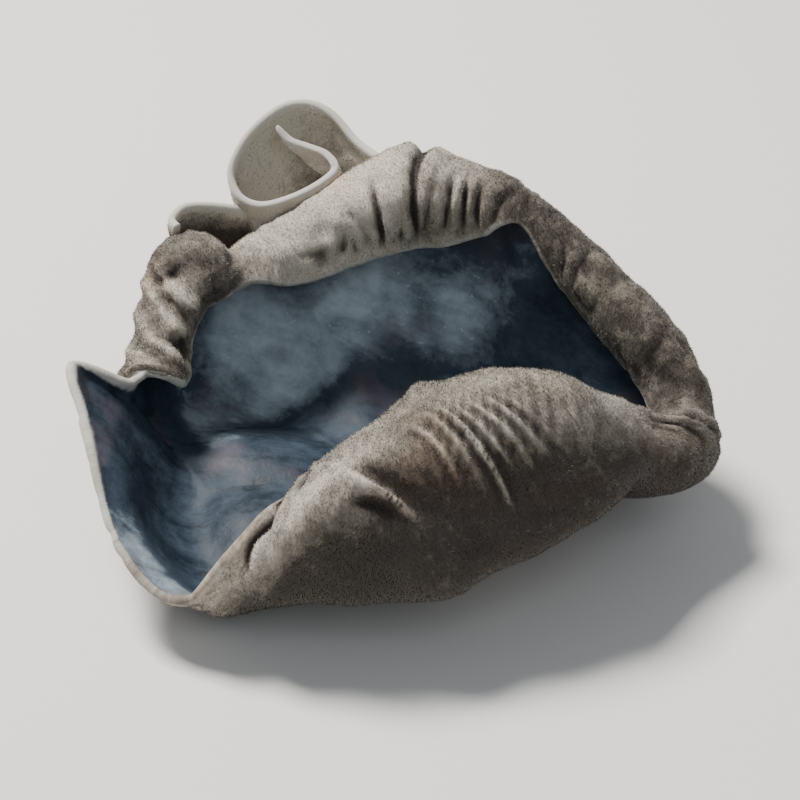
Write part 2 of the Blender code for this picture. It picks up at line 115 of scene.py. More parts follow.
# Creases across the back roll: angle, half width, depth, and how far from the
# free edge each one begins and ends
CREASES = (
    (94.6, 1.1, 0.4, 0.4, 4.6),
    (83.2, 1.3, 0.55, 0.4, 8.8),
    (88.4, 0.9, 0.35, 0.3, 2.4),
    (79.6, 1.0, 0.4, 0.6, 3.4),
    (73.8, 1.0, 0.45, 1.0, 4.6),
    (69.0, 1.0, 0.45, 0.6, 4.2),
    (64.6, 0.9, 0.35, 0.4, 3.4),
    (106.6, 1.5, 0.35, 0.8, 2.8),
    (102.6, 1.0, 0.3, 0.4, 2.0),
    (113.0, 1.2, 0.22, 0.3, 2.2),
)

# Bloom on the hollow's face, partly painted light and shade, with negative strengths darkening the floor: centre (x,
# y, z), radius and strength of each patch
BLOOM_AND_PAINTED_LIGHT_PATCHES = (
    ((-7.6, 13.0, 5.0), 4.6, 1.3),
    ((-10.8, 12.4, 7.2), 3.2, 0.9),
    ((-4.4, 12.6, 4.6), 2.6, 0.7),
    ((4.2, 12.6, 7.8), 3.2, 0.85),
    ((-1.6, 13.4, 8.0), 3.0, 0.15),
    ((-4.4, 13.9, 11.4), 3.6, 0.5),
    ((0.1, 14.2, 11.0), 3.0, 0.45),
    ((-12.4, 4.4, 4.6), 3.0, 0.75),
    ((-9.6, 1.6, 3.4), 4.0, -0.75),
    ((-5.6, 6.4, 3.2), 4.4, -0.5),
    ((-2.6, 9.4, 2.6), 3.6, -0.75),
    ((1.6, 6.0, 3.0), 5.0, -0.4),
    ((-12.0, -4.0, 3.8), 4.0, -0.45),
)

CURL_EDGE = (
    (-0.7, 15.6, 18.6),
    (-2.5, 17.4, 19.1),
    (-4.2, 18.8, 20.5),
    (-5.9, 19.3, 21.1),
    (-7.8, 18.9, 20.9),
    (-9.9, 17.9, 19.4),
    (-11.1, 16.8, 17.3),
    (-10.6, 15.6, 16.0),
    (-9.1, 15.0, 15.6),
    (-7.0, 14.8, 16.3),
    (-5.0, 14.9, 17.4),
    (-4.0, 15.6, 18.1),
    (-4.6, 16.5, 18.7),
    (-5.9, 16.9, 19.1),
    (-7.0, 17.0, 19.5),
    (-7.8, 17.2, 20.2),
)
FRILL_EDGE = (
    (-14.5, 12.0, 15.6),
    (-14.9, 12.8, 15.7),
    (-14.2, 13.7, 16.1),
    (-12.8, 14.7, 15.7),
    (-11.0, 15.4, 15.1),
    (-9.2, 16.0, 14.4),
    (-7.4, 16.4, 14.1),
)
FRILL_FOOT = (
    (-14.6, 11.6, 12.6),
    (-14.6, 11.9, 12.0),
    (-14.0, 12.3, 11.4),
    (-12.6, 13.2, 11.0),
    (-11.0, 14.1, 11.0),
    (-9.3, 15.2, 11.3),
    (-7.6, 15.8, 12.2),
)


def ease(share: Array) -> Array:
    """3s2 - 2s3 of the share held between 0 and 1."""
    share = np.clip(share, 0.0, 1.0)
    return share * share * (3.0 - 2.0 * share)


def near(angle: Array, centre: float, half: float, soft: float) -> Array:
    """1 within half of the centre angle, easing to 0 over soft more."""
    distance = np.abs((angle - centre + 180.0) % 360.0 - 180.0)
    return 1.0 - ease((distance - half) / soft)


def unit(vectors: Array) -> Array:
    """The vectors divided by their lengths."""
    return vectors / np.maximum(np.linalg.norm(vectors, axis=-1, keepdims=True), 1e-9)


def waves(points: Array, length: float, seed: int) -> Array:
    """Twelve seeded plane waves, sin(2 pi p.h / length + phase), added up.

    Args:
        points: places in millimetres, in the last axis.
        length: wave length in millimetres.
        seed: choice of headings and phases.

    Returns:
        One height per point, mostly between -1 and 1.
    """
    chance = np.random.default_rng(seed)
    headings = unit(chance.normal(size=(12, 3)))
    phases = chance.uniform(0.0, 2.0 * math.pi, 12)
    turns = points @ headings.T * (2.0 * math.pi / length) + phases
    return np.sin(turns).sum(axis=-1) / math.sqrt(12.0)


class Grain:
    """Gradient noise on a cubic lattice with a seeded table."""

    def __init__(self, seed: int) -> None:
        """Shuffles the lattice and draws its slopes."""
        chance = np.random.default_rng(seed)
        self.table = np.concatenate([chance.permutation(256)] * 3)
        self.slopes = unit(chance.normal(size=(256, 3)))

    def __call__(self, points: Array, length: float) -> Array:
        """Slopes of the eight lattice corners blended by 6t5 - 15t4 + 10t3.

        Args:
            points: places in millimetres, in the last axis.
            length: size of one lattice cell in millimetres.

        Returns:
            One height per point, mostly between -1 and 1.
        """
        at = points / length
        cell = np.floor(at).astype(int)
        inside = at - cell
        blend = inside**3 * (inside * (inside * 6.0 - 15.0) + 10.0)
        total = np.zeros(points.shape[:-1])
        for corner in range(8):
            step = np.array([corner & 1, corner >> 1 & 1, corner >> 2 & 1])
            share = np.where(step, blend, 1.0 - blend).prod(axis=-1)
            key = (cell + step) & 255
            row = self.table[key[..., 0]] + key[..., 1]
            row = self.table[self.table[row] + key[..., 2]]
            total += share * (self.slopes[row] * (inside - step)).sum(axis=-1)
        return total * 1.6


def around(known_angles: Array, known_values: Array, angles: Array) -> Array:
    """A monotone cubic through known values, closed round the circle.

    Args:
        known_angles: rising angles in degrees.
        known_values: the value at each of them.
        angles: where the curve is read.

    Returns:
        The value at each angle.
    """
    x = np.concatenate([known_angles - 360.0, known_angles, known_angles + 360.0])
    y = np.concatenate([known_values] * 3)
    step = np.diff(x)
    slope = np.diff(y) / step
    before, after = slope[:-1], slope[1:]
    rising = before * after > 0.0
    weight_before = 2.0 * step[1:] + step[:-1]
    weight_after = step[1:] + 2.0 * step[:-1]
    mean = (weight_before + weight_after) / (
        weight_before / np.where(rising, before, 1.0) + weight_after / np.where(rising, after, 1.0)
    )
    tangent = np.zeros_like(y)
    tangent[1:-1] = np.where(rising, mean, 0.0)
    at = np.mod(angles, 360.0)
    i = np.clip(np.searchsorted(x, at, side="right") - 1, 0, len(step) - 1)
    t = (at - x[i]) / step[i]
    start = (1.0 + 2.0 * t) * (1.0 - t) ** 2 * y[i] + t * (1.0 - t) ** 2 * step[i] * tangent[i]
    end = t * t * (3.0 - 2.0 * t) * y[i + 1] + t * t * (t - 1.0) * step[i] * tangent[i + 1]
    return start + end


def smooth_line(knots: tuple, count: int) -> Array:
    """Evenly spaced points on a Catmull-Rom line through the knots.

    Args:
        knots: the points it goes through, in millimetres.
        count: how many points to give back.

    Returns:
        The points, count by 3.
    """
    line = np.array(knots, float)
    line = np.vstack([2 * line[0] - line[1], line, 2 * line[-1] - line[-2]])
    share = np.linspace(0.0, 1.0, 40, endpoint=False)[:, None]
    pieces = []
    for k in range(1, len(line) - 2):
        a, b, c, d = line[k - 1 : k + 3]
        bend = 2 * a - 5 * b + 4 * c - d
        twist = 3 * b - a - 3 * c + d
        pieces.append(b + (c - a) / 2 * share + bend / 2 * share**2 + twist / 2 * share**3)
    line = np.vstack(pieces + [line[-2:-1]])
    run = np.concatenate([[0.0], np.cumsum(np.linalg.norm(np.diff(line, axis=0), axis=1))])
    wanted = np.linspace(0.0, run[-1], count)
    return np.stack([np.interp(wanted, run, line[:, k]) for k in range(3)], axis=-1)


def grid_normals(grid: Array, closed: bool) -> Array:
    """Cross product of the grid's two directions, made one long.

    Args:
        grid: points, angles by rows by 3.
        closed: whether the first axis runs round and meets itself.

    Returns:
        One normal per point.
    """
    if closed:
        along = np.roll(grid, -1, axis=0) - np.roll(grid, 1, axis=0)
    else:
        along = np.gradient(grid, axis=0)
    return unit(np.cross(along, np.gradient(grid, axis=1)))


def half_round(inner: Array, outer: Array, outward: Array, steps: int) -> Array:
    """Points on a half circle from each inner edge point to its outer one.

    c + h cos(t) + w |h| sin(t), where c is the middle of the two, h half the way
    from outer to inner and w the direction out of the edge.

    Args:
        inner: edge points of the one face.
        outer: edge points of the other face.
        outward: direction out of the edge, one long.
        steps: how many points between the two.

    Returns:
        The points, edge points by steps by 3.
    """
    centre = (inner + outer) / 2.0
    half = (inner - outer) / 2.0
    radius = np.linalg.norm(half, axis=-1, keepdims=True)
    turns = np.linspace(0.0, math.pi, steps + 2)[1:-1]
    rows = [centre + half * math.cos(t) + outward * radius * math.sin(t) for t in turns]
    return np.stack(rows, axis=1)


def new_mesh(name: str, points: Array, faces: list[Array]) -> bpy.types.Object:
    """A smooth object from points in millimetres and arrays of faces.

    Args:
        name: the object's name.
        points: its points, count by 3.
        faces: arrays of three-sided or four-sided faces.

    Returns:
        The object, linked to the scene.
    """
    mesh = bpy.data.meshes.new(name)
    corners = np.concatenate([part.ravel() for part in faces]).astype(np.int32)
    sizes = np.concatenate([np.full(len(part), part.shape[1]) for part in faces])
    starts = np.concatenate([[0], np.cumsum(sizes)[:-1]]).astype(np.int32)
    mesh.vertices.add(len(points))
    placed = (points - np.array(STUB_PLACE)) * MM
    mesh.vertices.foreach_set("co", placed.astype(np.float32).ravel())
    mesh.loops.add(len(corners))
    mesh.loops.foreach_set("vertex_index", corners)
    mesh.polygons.add(len(sizes))
    mesh.polygons.foreach_set("loop_start", starts)
    mesh.update(calc_edges=True)
    mesh.validate()
    mesh.shade_smooth()
    piece = bpy.data.objects.new(name, mesh)
    bpy.context.scene.collection.objects.link(piece)
    return piece


def give(piece: bpy.types.Object, name: str, values: Array) -> None:
    """Stores one number or one vector per point as an attribute."""
    kind = "FLOAT" if values.ndim == 1 else "FLOAT_VECTOR"
    layer = piece.data.attributes.new(name, kind, "POINT")
    field = "value" if values.ndim == 1 else "vector"
    layer.data.foreach_set(field, values.astype(np.float32).ravel())


@dataclass
class Skin:
    """A velvety face for the nap: a grid of points and what each one carries."""

    points: Array
    normals: Array
    edge: Array
    tone: Array
    relief: Array
    flow: Array
    closed: bool


@dataclass
class Nap:
    """Short felted hairs on a velvety face, one narrow three-sided blade each."""

    name: str
    count: int
    seed: int
    short: float = 0.08
    long: float = 0.17
    width: float = 0.034
    root: float = 0.01
    lean: float = 1.1
    stray: float = 0.5
    clump: float = 2.0
    paleness: float = 0.2
    bare_edge: float = 0.5

    def build(self, skin: Skin) -> bpy.types.Object:
        """Blades spread evenly over the face by its area, leaning in clumps.

        The tip is p + L unit(n + lean (gx a + gy b) + stray r), where n is the
        normal, a and b run along the face, gx and gy are smooth noise and r is
        drawn at random.

        Args:
            skin: the face they grow on.

        Returns:
            The piece.
        """
        chance = np.random.default_rng(self.seed)
        grid = skin.points
        size = grid.shape[0] if skin.closed else grid.shape[0] - 1
        after = np.roll(grid, -1, axis=0)[:size, :-1] - grid[:size, :-1]
        across = grid[:size, 1:] - grid[:size, :-1]
        area = np.linalg.norm(np.cross(after, across), axis=-1)
        area = area * ease(skin.edge[:size, :-1] / self.bare_edge)
        total = np.cumsum(area.ravel())
        wanted = (np.arange(self.count) + chance.random(self.count)) / self.count * total[-1]
        cell = np.minimum(np.searchsorted(total, wanted), total.size - 1)
        row, column = cell // area.shape[1], cell % area.shape[1]
        share = chance.random((2, self.count))

        def read(values: Array) -> Array:
            """The grid's values between its four corners, at every blade."""
            next_row = (row + 1) % values.shape[0]
            s, t = share if values.ndim == 2 else share[..., None]
            low = values[row, column] * (1.0 - s) + values[next_row, column] * s
            high = values[row, column + 1] * (1.0 - s) + values[next_row, column + 1] * s
            return low * (1.0 - t) + high * t

        root, normal = read(grid), unit(read(skin.normals))
        along = unit(after[row, column])
        beside = np.cross(normal, along)
        turned = [Grain(seed)(root, self.clump)[:, None] for seed in (self.seed, self.seed + 1)]
        stray = chance.normal(size=(self.count, 3)) * self.stray
        heading = unit(normal + self.lean * (turned[0] * along + turned[1] * beside) + stray)
        length = self.short + (self.long - self.short) * chance.random((self.count, 1))
        wide = unit(np.cross(heading, chance.normal(size=(self.count, 3)))) * self.width / 2.0
        foot = root - normal * self.root
        corners = np.stack([foot - wide, foot + wide, root + heading * length], axis=1)
        faces = np.arange(3 * self.count).reshape(-1, 3)
        piece = new_mesh(self.name, corners.reshape(-1, 3), [faces])
        shade = np.repeat(unit(normal + 0.3 * heading), 3, axis=0)
        piece.data.normals_split_custom_set_from_vertices(shade.tolist())
        tone = read(skin.tone) + self.paleness * chance.normal(size=self.count)
        tone = tone[:, None] + np.array([0.05, 0.05, 0.25])
        give(piece, "tone", tone.ravel())
        give(piece, "side", np.full(3 * self.count, Side.VELVET.value))
        give(piece, "rim", np.repeat(read(skin.edge) + 0.4, 3))
        give(piece, "relief", np.repeat(read(skin.relief), 3))
        give(piece, "flow", np.repeat(read(skin.flow), 3, axis=0))
        for name in ("cut", "bloom_and_painted_light"):
            give(piece, name, np.zeros(3 * self.count))
        return piece


@dataclass
class Cup:
    """The cup with its rolled rim, gutter and folds."""

    angles: int = 400
    rows: int = 112
    steps: int = 600
    sheet: float = 1.1
    edge: float = 0.7
    taper: float = 4.0
    centre_radius: float = 3.0
    centre_height: float = 1.75
    centre_blend: float = 3.0
    belly: float = 0.56
    belly_softness: float = 0.2
    curl_growth: float = 1.15
    evened: int = 5
    pleat_height: float = 0.3
    lump_height: float = 0.34
    crimp_height: float = 0.36
    crumple_height: float = 0.55
    lap_height: float = 0.95
    shelf_height: float = 1.05
    shelf_start: tuple = (-14.9, 6.6)
    shelf_heading: tuple = (0.464, -0.886)
    crest_share: float = 0.4
    ridge_height: float = 0.42

    def stations(self) -> Array:
        """The profiles with each crest as an angle and a distance, by angle."""
        rows = np.array(PROFILES, float)
        angle = np.degrees(np.arctan2(rows[:, 1], rows[:, 0])) % 360.0
        table = np.column_stack([angle, np.hypot(rows[:, 0], rows[:, 1]), rows[:, 2:]])
        return table[np.argsort(angle)]

    def draw(self, shape: list[Array], reach: Array, wall: Array) -> tuple[Array, ...]:
        """Profiles whose slope is a sum of eased bends, summed along their run.

        Args:
            shape: dish, heel, lean, curl, roll and flap of each profile.
            reach: length of the floor.
            wall: length of the straight wall.

        Returns:
            Distance, height and run along each profile, and its total length.
        """
        dish, heel, lean, curl, roll, flap = shape
        total = reach + heel + wall + roll + flap
        run = np.linspace(0.0, 1.0, self.steps + 1)[None, :] * total
        slope = dish * ease(run / self.centre_blend) + (lean - dish) * ease((run - reach) / heel)
        rolled = np.clip((run - reach - heel - wall) / roll, 0.0, 1.0)
        slope = np.radians(slope + curl * rolled**self.curl_growth)
        step = total / self.steps
        lines = []
        for part, base in ((np.cos(slope), self.centre_radius), (np.sin(slope), self.centre_height)):
            line = np.cumsum((part[:, 1:] + part[:, :-1]) / 2.0 * step, axis=1)
            lines.append(base + np.concatenate([np.zeros_like(part[:, :1]), line], axis=1))
        return lines[0], lines[1], run, total

    def solve(self, angles: Array) -> tuple[list[Array], Array, Array]:
        """Reach and wall that bring each crest home, from two linear equations.

        Args:
            angles: angles round the cup.

        Returns:
            The six shape columns, the reach and the wall.
        """
        table = self.stations()
        columns = [around(table[:, 0], table[:, k], angles)[:, None] for k in range(1, 9)]
        shape = columns[2:]
        dish, lean = np.radians(shape[0]), np.radians(shape[2])
        reach = np.full_like(columns[0], 6.0)
        wall = np.full_like(columns[0], 3.0)
        distance, height, _, _ = self.draw(shape, reach, wall)
        top = np.argmax(height, axis=1)[:, None]
        out = columns[0] - np.take_along_axis(distance, top, axis=1)
        up = columns[1] - np.take_along_axis(height, top, axis=1)
        turn = np.sin(lean - dish)
        reach = reach + (out * np.sin(lean) - up * np.cos(lean)) / turn
        wall = wall + (up * np.cos(dish) - out * np.sin(dish)) / turn
        return shape, np.maximum(reach, 0.5), np.maximum(wall, 0.1)

    def folds(self, points: Array, angle: Array, run: Array, total: Array, zone: dict) -> Array:
        """Pleats, lumps, crimps, lap and shelf that both faces follow.

        Args:
            points: the plain profiles.
            angle: angle of every point.
            run: its distance along its profile.
            total: length of each profile.
            zone: the profile lengths and zones from the shape.

        Returns:
            The height of the sheet off its plain profiles, outwards.
        """
        reach, heel, wall, roll = (zone[key] for key in ("reach", "heel", "wall", "roll"))
        turn = np.radians(angle)
        ring = np.stack([np.cos(turn), np.sin(turn), run * 0.03], axis=-1)
        on_floor = 1.0 - ease((run - reach - heel / 2.0) / (heel + wall))
        on_floor = on_floor * ease((run - 0.5) / 5.0)
        sway = waves(ring, 2.4, 3)
        height = np.zeros_like(angle)
        for count, share, swayed, turned in PLEATS:
            pleat = share * np.sin(count * turn + swayed * sway + turned + 0.9 * np.sin(run / 3.0 + count))
            height += self.pleat_height * on_floor * pleat
        zone["pleats"] = height.copy()
        height += self.lump_height * zone["body"] * waves(points, 17.0, 11)
        height += self.crumple_height * zone["crumpled"] * waves(points, 6.5, 5)
        crimps = waves(ring * 15.0, 6.4, 8)
        calm = 1.0 - 0.85 * near(angle, 282.0, 28.0, 10.0)
        height += self.crimp_height * zone["rolled"] * (1.0 - zone["crumpled"]) * calm * crimps
        under_crest = reach + heel + wall + self.crest_share * roll - run
        line = angle - 252.0 - under_crest * 3.4
        lap = np.where(line > 0.0, 1.0 - line / 6.0, 1.0 + line / 22.0)
        lap = np.clip(lap, 0.0, 1.0) * (1.0 - ease(under_crest / 8.5))
        lap = lap * (0.3 + 0.7 * ease((under_crest + 0.4) / 2.6))
        height += self.lap_height * lap * ease((total - run - 2.0) / 4.0)
        heading = np.array(self.shelf_heading)
        offset = points[..., :2] - np.array(self.shelf_start)
        down_line = offset @ heading
        off_line = offset @ np.array([-heading[1], heading[0]])
        shelf = ease(1.0 + off_line / 4.8) * (1.0 - ease(off_line / 15.0)) * ease(down_line / 8.5)
        shelf = shelf * (1.0 - ease((down_line - 11.0) / 5.5)) * (1.0 - ease((run - reach + 1.8) / heel))
        height -= self.shelf_height * shelf
        return height * (1.0 - ease(1.0 - (total - run) / 2.0) / 2.0)

    def middle(self) -> tuple[Array, Array, Array, Array, dict]:
        """The sheet's middle surface on a grid of angles by rows.

        Returns:
            Points, angles, run, distance from the rim, and the zones.
        """
        angles = np.arange(self.angles) * 360.0 / self.angles
        shape, reach, wall = self.solve(angles)
        distance, height, run, total = self.draw(shape, reach, wall)
        rise = np.gradient(height, axis=1)
        slope = np.unwrap(np.arctan2(rise, np.gradient(distance, axis=1)), axis=1)
        effort = np.gradient(run, axis=1) / 3.2 + np.abs(np.gradient(slope, axis=1)) / 1.1
        share = np.cumsum(effort, axis=1)
        share = (share - share[:, :1]) / (share[:, -1:] - share[:, :1])
        wanted = np.linspace(0.0, 1.0, self.rows)
        rows = np.stack([np.interp(wanted, s, r) for s, r in zip(share, run)])
        picked_distance = np.stack([np.interp(q, r, d) for q, r, d in zip(rows, run, distance)])
        picked_height = np.stack([np.interp(q, r, h) for q, r, h in zip(rows, run, height)])
        turn = np.radians(angles)[:, None]
        points = np.stack(
            [picked_distance * np.cos(turn), picked_distance * np.sin(turn), picked_height], axis=-1
        )
        angle = angles[:, None] + np.zeros_like(rows)
        heel, roll = shape[1], shape[4]
        rolled = ease((rows - reach - heel - wall / 2.0) / (wall / 2.0 + 1.5))
        crumpled = sum(share * near(angle, c, half, soft) for c, half, soft, share in CRUMPLED_SPANS)
        zone = {
            "reach": reach,
            "heel": heel,
            "wall": wall,
            "roll": roll,
            "rolled": rolled,
            "body": ease(rows / 5.0),
            "crumpled": crumpled * rolled,
        }
        folds = self.folds(points, angle, rows, total, zone)
        points = points + grid_normals(points, closed=True) * folds[..., None]
        floor = (1.0 - ease((rows - reach) / heel))[..., None]
        reach_of_mean = range(-self.evened, self.evened + 1)
        even = sum(np.roll(points, step, axis=0) for step in reach_of_mean) / len(reach_of_mean)
        points = points * (1.0 - floor) + even * floor
        over = points[..., 2] - self.belly
        points[..., 2] = self.belly + (over + np.sqrt(over**2 + self.belly_softness**2)) / 2.0
        return points, angle, rows, total - rows, zone

    def wrinkles(self, points: Array, angle: Array, run: Array, edge: Array, zone: dict) -> Array:
        """Fine relief of the velvety face: creases across the roll and crumples.

        Narrow creases are -clip(-sin(n a + sway), 0, 1)^p with n of 60 and 34.

        Args:
            points: points of the face.
            angle: their angles.
            run: their distances along the profile.
            edge: their distances from the rim.
            zone: the profile zones.

        Returns:
            The height of the relief, outwards.
        """
        turn = np.radians(angle)
        ring = np.stack([np.cos(turn), np.sin(turn), np.zeros_like(turn)], axis=-1)
        depth = np.array([0.0, 0.0, 1.0]) * run[..., None]
        sway = Grain(29)(ring * 3.0 + depth * 0.35 + 2.0, 1.0) * 1.8
        sway += Grain(3)(ring * 8.0 + depth * 0.15, 1.0) * 1.2
        chosen = np.clip(0.5 + 1.2 * Grain(11)(ring * 4.0 + depth * 0.2 + 7.0, 1.0), 0.0, 1.0)
        chosen = chosen * (1.0 - 0.7 * near(angle, 93.0, 27.0, 8.0)) * (1.0 - 0.8 * near(angle, 282.0, 28.0, 10.0))
        close = np.clip(-np.sin(64.0 * turn + 2.0 * sway - 0.35 * run), 0.0, 1.0)
        wide = np.clip(-np.sin(31.0 * turn + 2.6 * sway), 0.0, 1.0)
        rolled = zone["rolled"] * (0.22 + 0.78 * np.exp(-((edge / 4.2) ** 2)))
        height = -0.42 * rolled * chosen * close**2 - 0.55 * rolled * chosen * wide**3
        for centre, half, deep, start, end in CREASES:
            bent = angle - centre + 0.6 * np.sin(edge * 0.9 + centre)
            along = ease((edge - start + 0.4) / 0.8) * (1.0 - ease((edge - end + 1.2) / 1.8))
            height -= deep * along * np.exp(-((bent / half) ** 2)) * zone["rolled"]
            height += 0.3 * deep * along * np.exp(-(((np.abs(bent) - 2.4 * half) / half) ** 2)) * zone["rolled"]
        crumpled = zone["crumpled"] * (1.0 - ease((angle - 157.0) / 7.0) * (angle < 200.0))
        height += 0.2 * crumpled * (Grain(5)(points, 1.2) + 0.4 - 2.0 * np.abs(Grain(17)(points, 1.6)))
        height += 0.05 * zone["body"] * Grain(11)(points, 0.8)
        height += 0.09 * zone["rolled"] * Grain(41)(points, 1.1)
        height += 0.16 * zone["body"] * Grain(29)(points, 2.6)
        ridge, groove = self.ridges(angle, run, edge, zone)
        height += self.ridge_height * (ridge - 0.45 * groove)
        height += self.lapped(angle, run, edge, zone)[0]
        return height * (0.25 + 0.75 * ease(edge / 1.5))

    def ridges(self, angle: Array, run: Array, edge: Array, zone: dict) -> tuple[Array, Array]:
        """Narrow ridges that slant down from the front crest: |cos(phase)|^5.

        Args:
            angle: angle of every point.
            run: its distance along the profile.
            edge: its distance from the rim.
            zone: the profile lengths.

        Returns:
            Shares between 0 and 1 of the ridges and of the grooves between them.
        """
        crest = zone["reach"] + zone["heel"] + zone["wall"] + self.crest_share * zone["roll"]
        under = crest - run
        under = np.maximum(under, -1.2)
        place = np.stack([angle / 9.0, under / 4.0, 0.0 * under], axis=-1)
        base = angle - 18.0 * (1.0 - np.exp(-under / 4.0)) + 0.9 * Grain(3)(place, 1.0)
        main = near(base, 284.7, 1.8, 2.4)
        front = near(base, 288.0, 14.0, 4.0) * (0.55 + 0.45 * main)
        front = front * ease((under + 0.1) / 1.5) * (1.0 - ease((under - 2.6 - 2.6 * main) / 3.2))
        ridge = np.abs(np.cos((base - 284.7) / 4.9 * math.pi)) ** 5
        flap = angle + 3.0 * under
        folded = near(angle, 160.0, 11.0, 5.0) * np.abs(np.cos(flap / 5.2 * math.pi)) ** 3
        across = angle + 12.0 * (1.0 - np.exp(-under / 4.0)) + 1.4 * Grain(7)(place, 1.0)
        crossed = near(angle, 304.0, 18.0, 8.0) * (1.0 - ease((np.abs(under - 1.6) - 1.4) / 2.0))
        crossed = crossed * np.abs(np.cos(across / 3.9 * math.pi)) ** 4
        return (
            ridge * front + 0.8 * folded * ease(edge / 1.5) + 0.26 * crossed,
            (1.0 - ridge) * front,
        )

    def lapped(self, angle: Array, run: Array, edge: Array, zone: dict) -> tuple[Array, Array]:
        """The front wall's lap: a pit and, past it, a thin ridge, with a painted highlight on the ridge's pale edge
        and painted shade in the pit and the trough past the ridge.

        Args:
            angle: angle of every point.
            run: its distance along the profile.
            edge: its distance from the rim.
            zone: the profile lengths.

        Returns:
            Height of the ridge less the pit, and their paleness: the ridge's painted highlight and the painted shade
            of the pit and the trough.
        """
        crest = zone["reach"] + zone["heel"] + zone["wall"] + self.crest_share * zone["roll"]
        under = crest - run
        line = angle - 252.0 - under * 3.4 + 0.5 * np.sin(under * 1.3)
        along = ease(under / 1.4) * (1.0 - ease((under - 4.4) / 2.6))
        ridge = np.exp(-(((line - 4.6) / 1.05) ** 2)) * along
        deep = ease((under - 1.6) / 1.2) * (1.0 - ease((under - 3.6) / 1.8))
        pit = np.exp(-(((line - 1.9) / 1.5) ** 2)) * deep
        trough = np.exp(-(((line - 8.6) / 2.4) ** 2)) * along
        return 0.46 * ridge - 0.62 * pit - 0.2 * trough, 1.3 * ridge - 1.4 * pit - 0.8 * trough

    def bloom_and_painted_light(self, points: Array, angle: Array, edge: Array) -> Array:
        """Where the hollow is paler or darker: pale bloom, partly painted light, on its back and floor, painted
        shade in the gutter, under the right roll and on the lip's inner wall, and a painted lit band by the lip.

        Args:
            points: points of the hollow's face.
            angle: their angles.
            edge: their distances from the rim.

        Returns:
            A share, 0 for plain skin, below it for painted shade and darker skin, and 1 for full bloom with painted
            light.
        """
        share = np.zeros_like(angle)
        ragged = 0.55 * Grain(23)(points, 4.5) + 0.3 * Grain(31)(points, 1.7)
        for centre, radius, strength in BLOOM_AND_PAINTED_LIGHT_PATCHES:
            distance = np.linalg.norm(points - np.array(centre), axis=-1) / radius + ragged
            share += strength * np.exp(-distance**2)
        offset = points[..., :2] - np.array(self.shelf_start)
        heading = np.array(self.shelf_heading)
        off_line = offset @ np.array([-heading[1], heading[0]])
        # Painted shade: the gutter along the lip and the corner under the right roll are darkened
        gutter = 1.0 - ease((off_line + 0.3) / 1.6)
        right = ease((points[..., 0] - 4.5 - 0.5 * (points[..., 2] - 4.2)) / 4.5)
        share = share * (1.0 - 0.6 * gutter) + 0.3 - 0.5 * np.maximum(gutter, right)
        # Painted shade on the left lip's inner wall, where it faces the light, and a painted lit band along the lip
        wall = near(angle, 196.0, 26.0, 10.0) * ease((edge - 0.6) / 1.0) * (1.0 - ease((edge - 9.0) / 4.0))
        lip = near(angle, 219.0, 7.0, 12.0) * (1.0 - ease((edge - 1.2) / 1.6)) * 0.75
        return np.clip(np.maximum(share - 0.6 * wall, lip), -0.6, 1.15)

    def tone(self, angle: Array, run: Array, edge: Array, zone: dict) -> Array:
        """Paleness of the velvet with painted light and shade: painted shade down the front wall, painted highlights
        along the crests of the front wall and the back roll, painted shade in the right end's tuck, and some
        stretches of the rolled rim darker or paler.

        Args:
            angle: angle of every point.
            run: its distance along the profile.
            edge: its distance from the rim.
            zone: the profile lengths.

        Returns:
            Between -1 and 1, added to the velvet's own pattern.
        """
        crest = zone["reach"] + zone["heel"] + zone["wall"] + self.crest_share * zone["roll"]
        under = crest - run
        # Painted highlight along the front crest and painted shade growing down the front wall below it
        front = near(angle, 288.0, 52.0, 34.0)
        down = ease((under - 0.6) / (5.4 - 2.2 * near(angle, 242.0, 9.0, 12.0)))
        down = down * (0.25 + 0.75 * ease((run - 0.2 * zone["reach"]) / zone["reach"]))
        tone = front * (0.3 - 1.7 * down)
        tone += -0.55 * near(angle, 158.0, 14.0, 8.0) * zone["rolled"]
        # Painted shade in the crumpled tuck at the right end
        tone += -0.55 * near(angle, 357.0, 9.0, 8.0) * ease(edge / 4.0)
        tone += -0.75 * near(angle, 34.0, 26.0, 12.0) * zone["rolled"]
        tone += 0.75 * near(angle, 110.0, 14.0, 12.0) * zone["rolled"]
        tone += 0.4 * near(angle, 80.0, 14.0, 12.0) * zone["rolled"]
        # Painted highlight along the back roll's crest
        tone += 0.55 * near(angle, 86.0, 30.0, 16.0) * (1.0 - ease(np.abs(under + 0.4) / 1.1))
        tone += -0.5 * near(angle, 300.0, 24.0, 12.0) * (1.0 - ease((under - 0.5) / 3.0))
        # Painted highlight along the crest of the front wall's left lobe
        tone += 0.4 * near(angle, 244.0, 10.0, 8.0) * (1.0 - ease(np.abs(under) / 1.6))
        return np.clip(tone, -1.5, 1.0)

